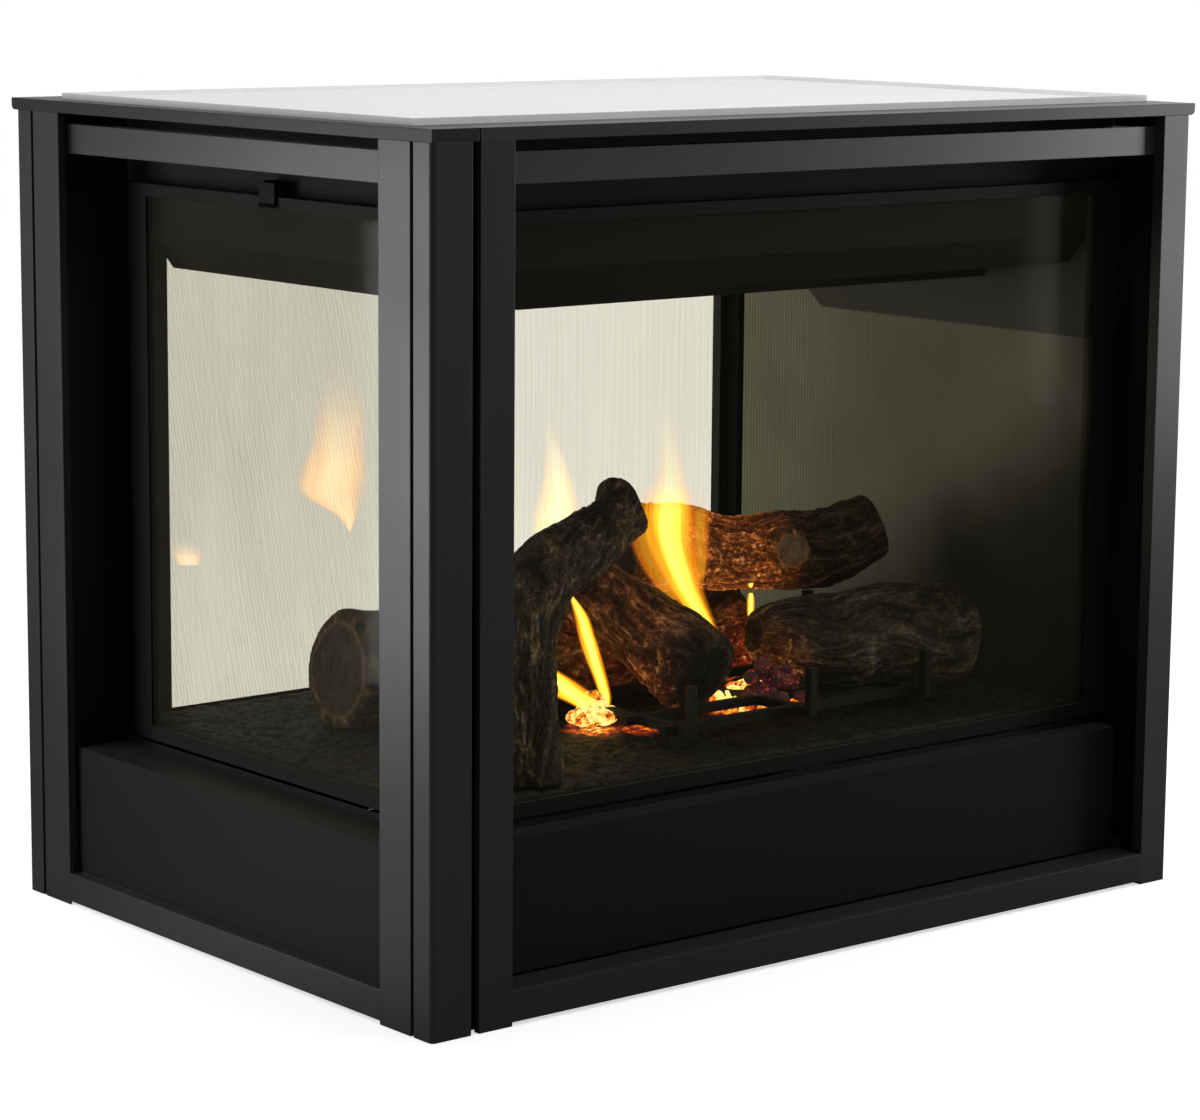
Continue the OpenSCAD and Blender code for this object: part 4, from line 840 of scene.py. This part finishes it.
def stone_material(name, hot):
    """Broken lava stone: matt black with grey bits, and red to yellow heat in its crests near the hot
    places."""
    shader = Shader(name)
    at = shader.place()
    grit = shader.noise(at, 420.0, 4.0, 0.7)
    shade = shader.total((shader.cells(at, 95.0), 0.5), (grit, 0.6))
    shader.feed("Base Color", shader.ramp(shade, [
        (0.4, (0.0018, 0.0017, 0.0013)), (0.78, (0.0065, 0.006, 0.0044)), (1.0, (0.06, 0.056, 0.04))]))
    shader.feed("Roughness", shader.range(grit, 0.3, 0.7, 0.9, 0.55))
    shader.bump(grit, 0.6, 0.0015)
    heat = shader.highest([
        shader.times(shader.near(at, [u, v, BED + HOT_LIFT], HOT_CORE, reach / MM), warmth)
        for u, v, reach, warmth in HOT_SPOTS])
    crack = shader.range(shader.noise(at, 130.0, 4.0, 0.7), 0.36, 0.68, 0.15, 1.2)
    heat = shader.times(heat, crack, hot)
    shader.feed("Emission Color", shader.ramp(heat, [
        (0.05, (0, 0, 0)), (0.25, (0.12, 0.01, 0.004)), (0.48, (0.55, 0.1, 0.006)),
        (0.7, (0.75, 0.33, 0.03)), (0.95, (0.8, 0.62, 0.2))]))
    shader.set("Emission Strength", 1.9)
    return shader.material


def stone_heights(u, v, low, high):
    """Height of the stones over u and v: each stone is a dome round one jittered centre of a square lattice,
    and the highest of the nine domes near a point counts."""
    rng = np.random.default_rng(5)
    nu, nv = (int((high[k] - low[k]) / STONE_CELL) + 4 for k in (0, 1))
    jitter = rng.random((nv, nu, 2))
    size = 0.55 + 0.5 * rng.random((nv, nu))
    lift = rng.random((nv, nu))
    iu = np.floor((u - low[0]) / STONE_CELL).astype(int) + 1
    iv = np.floor((v - low[1]) / STONE_CELL).astype(int) + 1
    height = np.zeros_like(u)
    for dj in (-1, 0, 1):
        for di in (-1, 0, 1):
            j, i = iv + dj, iu + di
            cu = low[0] + (i - 1 + jitter[j, i, 0]) * STONE_CELL
            cv = low[1] + (j - 1 + jitter[j, i, 1]) * STONE_CELL
            gap = np.hypot(u - cu, v - cv) / (STONE_CELL * size[j, i])
            dome = (STONE_LOW + STONE_SPREAD * lift[j, i]) * np.sqrt(np.clip(1 - gap ** 2, 0, 1))
            height = np.maximum(height, dome)
    return height


def add_embers():
    """Loose lava stones as a height field over the bed, kept low where something stands in them, with a
    skirt down to the bed's underside and a flat bottom."""
    low, high = BED_LOW[:2] + STONE_INSET, BED_HIGH[:2] - STONE_INSET
    cols, rows = (int((high[k] - low[k]) / STONE_STEP) for k in (0, 1))
    u, v = np.meshgrid(np.linspace(low[0], high[0], cols), np.linspace(low[1], high[1], rows))
    z = BED - STONE_GAP + stone_heights(u, v, low, high)
    z += STONE_GRAIN * lattice_noise(u / 4.0, v / 4.0, 200, 8)
    z = np.minimum(z, BED_HIGH[2])
    for foot_u, foot_v, reach in [BRANCH_FOOT, PILOT_FOOT] + GRATE_FEET:
        near = np.clip((np.hypot(u - foot_u, v - foot_v) - reach) / FOOT_EDGE, 0, 1)
        z = np.where(near < 1, np.minimum(z, BED - 0.2) * (1 - near) + z * near, z)
    top = np.stack([u, v, z], -1).reshape(-1, 3)
    edge = np.concatenate([
        np.arange(cols), np.arange(1, rows) * cols + cols - 1,
        (rows - 1) * cols + np.arange(cols - 2, -1, -1), np.arange(rows - 2, 0, -1) * cols])
    skirt = top[edge].copy()
    skirt[:, 2] = BED_LOW[2]
    ring = np.arange(len(edge))
    following = (ring + 1) % len(edge)
    sides = np.stack([edge, len(top) + ring, len(top) + following, edge[following]], 1)
    faces = grid_faces(rows, cols).tolist() + sides.tolist() + [(len(top) + ring)[::-1].tolist()]
    bed = add_piece("ember_stones", np.concatenate([top, skirt]), faces)
    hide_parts("ember_bed")
    bed.data.materials.append(stone_material("lava_stones", 1.0))


def add_coals(name, count, centre, spread, size, material, seed):
    """Heap of broken coals: each is a sphere grid whose radius is cut flat by seven random planes, scattered
    over an ellipse and piled higher towards its middle."""
    rng = np.random.default_rng(seed)
    rows, cols, cuts = 9, 14, 7
    lat = np.linspace(-np.pi / 2, np.pi / 2, rows)
    lon = np.arange(cols) / cols * 2 * np.pi
    A, B = np.meshgrid(lat, lon, indexing="ij")
    ways = np.stack([np.cos(A) * np.cos(B), np.cos(A) * np.sin(B), np.sin(A)], -1).reshape(-1, 3)
    spot = rng.normal(size=(count, 2)) * 0.5
    spot = spot / np.maximum(np.linalg.norm(spot, axis=1, keepdims=True), 1)
    radius = size * (0.5 + 0.7 * rng.random(count))
    planes = unit(rng.normal(size=(count, cuts, 3)))
    reach = 0.55 + 0.4 * rng.random((count, cuts))
    lean = np.einsum("pk,nqk->npq", ways, planes)
    cut = np.where(lean > 0.05, reach[:, None] / np.maximum(lean, 0.05), 9.0).min(2)
    shape = ways * np.minimum(cut, 1.0)[..., None] * radius[:, None, None]
    shape[..., 2] *= 0.8
    pile = np.clip(1 - np.linalg.norm(spot, axis=1), 0, 1) * spread[2] * rng.random(count)
    place = np.stack([centre[0] + spot[:, 0] * spread[0], centre[1] + spot[:, 1] * spread[1],
                      centre[2] + radius * 0.55 + pile], 1)
    points = (shape + place[:, None]).reshape(-1, 3)
    one = ring_faces(rows, cols)
    faces = (one[None] + (np.arange(count) * rows * cols)[:, None, None]).reshape(-1, 4)
    coals = add_piece(name, points, faces.tolist(), smooth=False)
    coals.data.materials.append(material)


def ashen_coal(name):
    """Coal under pale ash, with a dull red in its cracks."""
    ash = Shader(name)
    grain = ash.noise(ash.place(), 150.0, 4.0, 0.7)
    ash.feed("Base Color", ash.ramp(grain, [
        (0.35, (0.02, 0.012, 0.014)), (0.6, (0.12, 0.075, 0.09)), (0.8, (0.4, 0.3, 0.36))]))
    ash.feed("Emission Color", ash.ramp(grain, [
        (0.33, (0.5, 0.07, 0.02)), (0.41, (0.08, 0.008, 0.008)), (0.5, (0.003, 0.001, 0.001))]))
    ash.set("Emission Strength", 1.2)
    ash.set("Roughness", 0.9)
    ash.bump(grain, 0.5, 0.001)
    return ash.material


def add_coal_heaps():
    """A hot heap at the small front flames, another between the logs, and an ashen one in front of that.
    Each has its number of coals, middle, spread with the pile's height, coal size, finish and seed."""
    hot = stone_material("hot_coals", 2.5)
    ashen = ashen_coal("ashen_coals")
    add_coals("front_coals", 64, [450, 302, BED + 11], [22, 20, 34], 10, hot, 3)
    add_coals("middle_coals", 70, [672, 292, BED + 2], [66, 24, 26], 11, hot, 4)
    add_coals("ash_coals", 70, [682, 258, BED + 14], [38, 24, 92], 11, ashen, 6)


# Flames

# Flame colours from the rim to the heart, and where across the flame each of them stands
YELLOW = ((1.0, 0.17, 0.002), (1.0, 0.33, 0.008), (1.0, 0.62, 0.035), (1.0, 0.86, 0.15))
ORANGE = ((1.0, 0.14, 0.002), (1.0, 0.22, 0.004), (1.0, 0.32, 0.01), (1.0, 0.42, 0.02))
PEACH = ((1.0, 0.48, 0.2), (1.0, 0.58, 0.29), (1.0, 0.67, 0.38), (1.0, 0.75, 0.46))
CREAM = ((1.0, 0.55, 0.2), (1.0, 0.68, 0.3), (1.0, 0.78, 0.42), (1.0, 0.86, 0.55))
HUE_STOPS = (0.0, 0.3, 0.6, 0.95)
# Kinds of flame: strength, density, share of the height where it starts to thin, what is left past that,
# and colours
FLAME_KINDS = {
    "flame": (2.5, 0.42, 0.62, 0.28, YELLOW),
    "flame_hot": (3.2, 0.42, 0.92, 0.3, YELLOW),
    "flame_soft": (1.5, 0.24, 0.6, 0.3, ORANGE),
    "flame_pale": (1.9, 0.6, 0.5, 0.7, PEACH),
    "flame_faint": (1.4, 0.34, 0.4, 0.6, PEACH),
    "flame_cream": (1.75, 0.42, 0.5, 0.6, CREAM),
}
# Flames: the main one in three leaves, two small ones at the front, two slots of fire between the logs, and
# paler ones behind. Each has its piece, kind, seed, waviness, v, and path of u, z and half width.
FLAMES = (
    ("flame_main", "flame", 1, 0.35, 330, [
        (660, 262, 3), (655, 280, 8), (636, 306, 15), (619, 330, 20), (603, 357, 26), (583, 405, 31),
        (580, 448, 31), (583, 485, 20), (578, 530, 14), (570, 575, 3)]),
    ("flame_main_left", "flame_soft", 5, 0.5, 338, [
        (604, 326, 6), (580, 356, 15), (561, 385, 19), (549, 420, 19), (546, 455, 14), (546, 480, 3)]),
    ("flame_main_right", "flame_soft", 8, 0.4, 326, [
        (628, 352, 5), (627, 384, 12), (625, 416, 13), (623, 446, 11), (621, 470, 3)]),
    ("flame_front", "flame_hot", 2, 0.3, 300, [
        (458, 214, 6), (466, 237, 8), (461, 259, 9), (450, 286, 10), (439, 314, 11), (430, 340, 9),
        (413, 368, 1.5)]),
    ("flame_side", "flame_hot", 3, 0.4, 300, [
        (450, 228, 12), (432, 242, 22), (412, 256, 27), (392, 272, 24), (370, 296, 6)]),
    ("flame_slot_low", "flame_hot", 4, 0.1, 384, [
        (757, 288, 3), (757, 294, 5), (757, 310, 5), (757, 318, 3)]),
    ("flame_slot_high", "flame_hot", 6, 0.1, 384, [
        (757, 324, 2), (756, 330, 5), (756, 338, 5), (755, 345, 2)]),
    ("flame_back", "flame_cream", 4, 1.0, 480, [
        (537, 340, 24), (537, 400, 30), (540, 437, 27), (538, 472, 18), (532, 507, 12), (528, 536, 4)]),
    ("flame_left", "flame_pale", 9, 0.4, 520, [
        (274, 420, 2), (270, 438, 14), (250, 464, 40), (252, 492, 40), (258, 528, 36), (262, 565, 33),
        (260, 620, 16)]),
    ("flame_far", "flame_faint", 7, 0.1, 520, [
        (60, 403, 15), (58, 412, 18), (56, 421, 18), (54, 432, 14)]),
)
# Level way in which the flames' leaves spread
LEAF_WAY = (0.772, -0.635)


def flame_material(name, strength, density, fade_from, faint, hues):
    """Flame: light added over what lies behind it, deeper at its rim and paler at its heart, which thins out
    past fade_from of its height."""
    shader = Shader(name)
    shader.set("Base Color", (0, 0, 0, 1))
    shader.set("Roughness", 1.0)
    shader.set("Specular IOR Level", 0.0)
    uv = shader.map((1, 1, 1))
    across, up = shader.axis(uv, "X"), shader.axis(uv, "Y")
    wisp = shader.noise(shader.map((5.0, 0.8, 1)), 1.5, 3.0, 0.55, 0.4)
    folded = shader.math("ABSOLUTE", shader.math("SUBTRACT", shader.times(across, 2.0), 1.0))
    heart = shader.math("SUBTRACT", 1.0, folded)
    heart = shader.math("MULTIPLY", heart, shader.range(wisp, 0.3, 0.7, 0.6, 1.4), clamp=True)
    thin = shader.range(up, fade_from, fade_from + 0.12, 1.0, faint, smooth=True)
    tip = shader.range(up, fade_from, 1.0, 1.0, 0.0, smooth=True)
    root = shader.range(up, 0.0, 0.08, 0.2, 1.0, smooth=True)
    shader.feed("Emission Color", shader.ramp(heart, list(zip(HUE_STOPS, hues))))
    shader.set("Emission Strength", strength)
    body = shader.range(heart, 0.03, 0.62, 0.0, density, smooth=True)
    shader.feed("Alpha", shader.times(body, thin, tip, root))
    return shader.material


def add_flame(name, material, seed, wave, path):
    """Flame: a thin closed leaf carried up a path of u, v, z and half width. Its width follows the path, its
    thickness is a sixth of that, and small waves run up both edges."""
    rows, cols = 90, 29
    q = smooth_path(path, np.linspace(0, len(path) - 1, rows))
    T, S = np.meshgrid(np.linspace(0, 1, rows), np.linspace(-1, 1, cols), indexing="ij")
    sway = wave * (0.18 * np.sin(8 * T + seed + 1.5 * S) + 0.12 * np.sin(17 * T + 2 * seed + 2 * S))
    width = q[:, 3][:, None]
    wide = np.array([LEAF_WAY[0], LEAF_WAY[1], 0.0])
    deep = np.array([-LEAF_WAY[1], LEAF_WAY[0], 0.0])
    leaf = q[:, None, :3] + (S + sway * T)[..., None] * width[..., None] * wide
    bulge = (np.sqrt(np.clip(1 - S ** 2, 0, 1)) * width / 6)[..., None] * deep
    front, back = (leaf + bulge).reshape(-1, 3), (leaf - bulge).reshape(-1, 3)
    faces = grid_faces(rows, cols)
    every = np.concatenate([faces[:, ::-1], faces + rows * cols])
    uv = np.tile(np.stack([(S.ravel() + 1) / 2, T.ravel()], 1), (2, 1))
    obj = add_piece(name, np.concatenate([front, back]), every.tolist(), uv=uv)
    obj.data.materials.append(material)
    obj.visible_shadow = False


def add_flames():
    """All flames, after the materials of their kinds."""
    kinds = {name: flame_material(name, *values) for name, values in FLAME_KINDS.items()}
    for name, kind, seed, wave, v, path in FLAMES:
        add_flame(name, kinds[kind], seed, wave, [[u, v, z, half] for u, z, half in path])


# Screws and foam strip

# Screw head and washer, radius and height of each ring of the profile
SCREW = np.array([[6.5, 0.0], [6.5, 0.9], [4.7, 1.0], [4.5, 1.9], [3.2, 2.6], [1.4, 2.8]])
SCREW_SIDES = 16
SCREW_INSET = 14
# Opposite corners of the foam strip
FOAM_LOW, FOAM_HIGH = np.array([11.4, 87.5, 28.0]), np.array([12.8, 678.5, 37.6])


def add_screws():
    """Screws round the rim of the end casing: each is a low dome over a washer, its profile turned about its
    axis, at even steps along the four edges."""
    low, high = (np.array(corner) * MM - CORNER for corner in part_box("end_casing"))
    across = np.linspace(low[1] + SCREW_INSET, high[1] - SCREW_INSET, 5)
    upward = np.linspace(low[2] + SCREW_INSET, high[2] - SCREW_INSET, 6)
    spots = [(v, z) for v in across for z in (upward[0], upward[-1])]
    spots += [(v, z) for z in upward[1:-1] for v in (across[0], across[-1])]
    ang = np.arange(SCREW_SIDES) / SCREW_SIDES * 2 * np.pi
    ways = list(zip(np.cos(ang), np.sin(ang)))
    one = ring_faces(len(SCREW), SCREW_SIDES)
    top = (len(SCREW) - 1) * SCREW_SIDES
    points, faces = [], []
    for v, z in spots:
        start = len(points) * len(SCREW) * SCREW_SIDES
        points.append([[high[0] + h, v + r * a, z + r * b] for r, h in SCREW for a, b in ways])
        faces += (one + start).tolist()
        faces.append([start + top + k for k in range(SCREW_SIDES)])
    points = np.array(points).reshape(-1, 3)
    screws = add_piece("casing_screws", points, faces, smooth=False)
    screws.data.materials.append(galvanised("zinc_screws", (0.42, 0.42, 0.41), (0.6, 0.6, 0.58), 0.34))


def add_seal():
    """Foam strip on the left flange of the base pan, which closes the slit below the access panel: a plain
    block."""
    corners = np.array([[i, j, k] for i in (0, 1) for j in (0, 1) for k in (0, 1)])
    faces = [(0, 1, 3, 2), (4, 6, 7, 5), (0, 4, 5, 1), (2, 3, 7, 6), (0, 2, 6, 4), (1, 5, 7, 3)]
    points = FOAM_LOW + corners * (FOAM_HIGH - FOAM_LOW)
    seal = add_piece("pan_seal", points, faces, smooth=False)
    foam = Shader("black_foam", roughness=0.95)
    pores = foam.noise(foam.place(), 600.0, 2.0)
    foam.feed("Base Color", foam.ramp(pores, [(0.3, (0.003, 0.003, 0.003)), (0.7, (0.009, 0.009, 0.009))]))
    seal.data.materials.append(foam.material)


# Materials of the sheet metal and the works

def dress_nodes():
    """Each solid takes its own finish where it has one, or else the finish of its slot."""
    coat = build_coat_group()
    # black is painted shade: the colour that the surround and post coats take deep in the recesses.
    black = (0.0015, 0.0015, 0.0015)
    grey = (0.011, 0.011, 0.0105)
    # pale and the left cap's grey are painted light: the post, cap, bar and left cap coats are lit and shaded
    # copies of the one charcoal coat, paler or darker and with more or less sheen.
    pale = (0.018, 0.018, 0.0172)
    surround = coated("charcoal_powder_coat", coat, grey, 0.36, 0.32, inner=black)
    post_coat_lit_copy = coated("charcoal_post_coat_lit_copy", coat, grey, 0.36, 0.4, inner=black, face_depth=16)
    cap_coat_lit_copy = coated("charcoal_cap_coat_lit_copy", coat, pale, 0.34, 0.3, dust=0.04)
    # Partly painted shade: on the base pan this black also stands in for the shade of the cavity behind the
    # access panel.
    dark = coated("bracket_black_and_cavity_shade", coat, (0.006, 0.006, 0.006), 0.5, 0.2)
    bar_coat_lit_copy = coated("charcoal_bar_coat_lit_copy", coat, pale, 0.34, 0.42, dust=0.04)
    left_cap = coated("charcoal_left_cap_shaded_copy", coat, (0.014, 0.014, 0.0134), 0.36, 0.16, dust=0.04)
    panel = coated("panel_satin_black", coat, (0.0062, 0.0062, 0.005), 0.5, 0.09)
    frames = coated("frame_black_paint", coat, (0.0052, 0.005, 0.0044), 0.6, 0.1)
    sheet = coated("firebox_matt_black", coat, (0.0082, 0.0079, 0.0068), 0.75, 0.18)
    rope = coated("gasket_rope", coat, (0.05, 0.05, 0.045), 0.9, 0.2, peel=500.0)
    plated = coated("dark_plated_latch", coat, (0.0025, 0.0025, 0.0025), 0.5, 0.06)
    iron = coated("cast_grate", coat, (0.006, 0.0055, 0.005), 0.7, 0.25, peel=350.0)
    knob = coated("black_knob", coat, (0.012, 0.012, 0.012), 0.35, 0.5)
    red = coated("red_button", coat, (0.4, 0.015, 0.01), 0.2, 0.5, dust=0.0)
    yellow = coated("yellow_handle", coat, (0.7, 0.42, 0.02), 0.3, 0.5, dust=0.0)
    bright = {}
    for name, colour, metal, roughness in (
            ("aluminised_steel", (0.3, 0.28, 0.26), 0.9, 0.5), ("stainless", (0.5, 0.49, 0.47), 1.0, 0.3),
            ("die_cast", (0.55, 0.55, 0.57), 1.0, 0.45), ("brass_pipe", (0.6, 0.4, 0.13), 1.0, 0.28)):
        bright[name] = coated(name, coat, colour, roughness, dust=0.05)
        bright[name].set("Metallic", metal)
    by_slot = {
        "surround": surround, "surround_dark": dark, "panel": panel, "glass_frame": frames, "gasket": rope,
        "latch": plated, "firebox": sheet, "burner": bright["aluminised_steel"], "embers": iron,
        "grate": iron, "log": iron, "pilot": bright["stainless"], "valve": bright["die_cast"], "knob": knob,
        "button": red, "pipe": bright["brass_pipe"], "handle": yellow,
    }
    sheets = {slot: shader.material for slot, shader in by_slot.items()}
    sheets["glass"] = glass("ceramic_glass", 0.042, (0.026, 0.024, 0.018))
    sheets["liner"] = enamel_liner("enamel_liner")
    sheets["galvanised"] = galvanised("galvanised_sheet", (0.5, 0.52, 0.54), (0.7, 0.72, 0.74), 0.42)
    own = {node: post_coat_lit_copy.material for node in ("front_right_post", "rear_right_post")}
    own.update({node: cap_coat_lit_copy.material for node in ("front_cap", "rear_cap", "left_bar")})
    own.update(front_bar=bar_coat_lit_copy.material, rear_bar=bar_coat_lit_copy.material, left_cap=left_cap.material)
    # Painted reflection: the left pane takes a copy of the glass with a thicker and paler film, which greys
    # it as a stronger reflection would.
    own["left_glass"] = glass("ceramic_glass_left_reflection_copy", 0.15, (0.04, 0.036, 0.028), slant=-0.3, streak=0.07)
    own["end_casing"] = end_casing_sheet("end_casing_sheet")
    own["top_cover"] = galvanised("pale_top_sheet", (0.88, 0.885, 0.89), (0.95, 0.955, 0.96), 0.6,
                                  metallic=0.0)
    for part in frame["record"]["subparts"]:
        data = frame["nodes"][part["node"]].data
        data.materials.clear()
        data.materials.append(own.get(part["node"]) or sheets[part["material_slot"]])


add_camera()
add_studio()
dress_nodes()
add_logs()
add_embers()
add_coal_heaps()
add_flames()
add_seal()
add_screws()
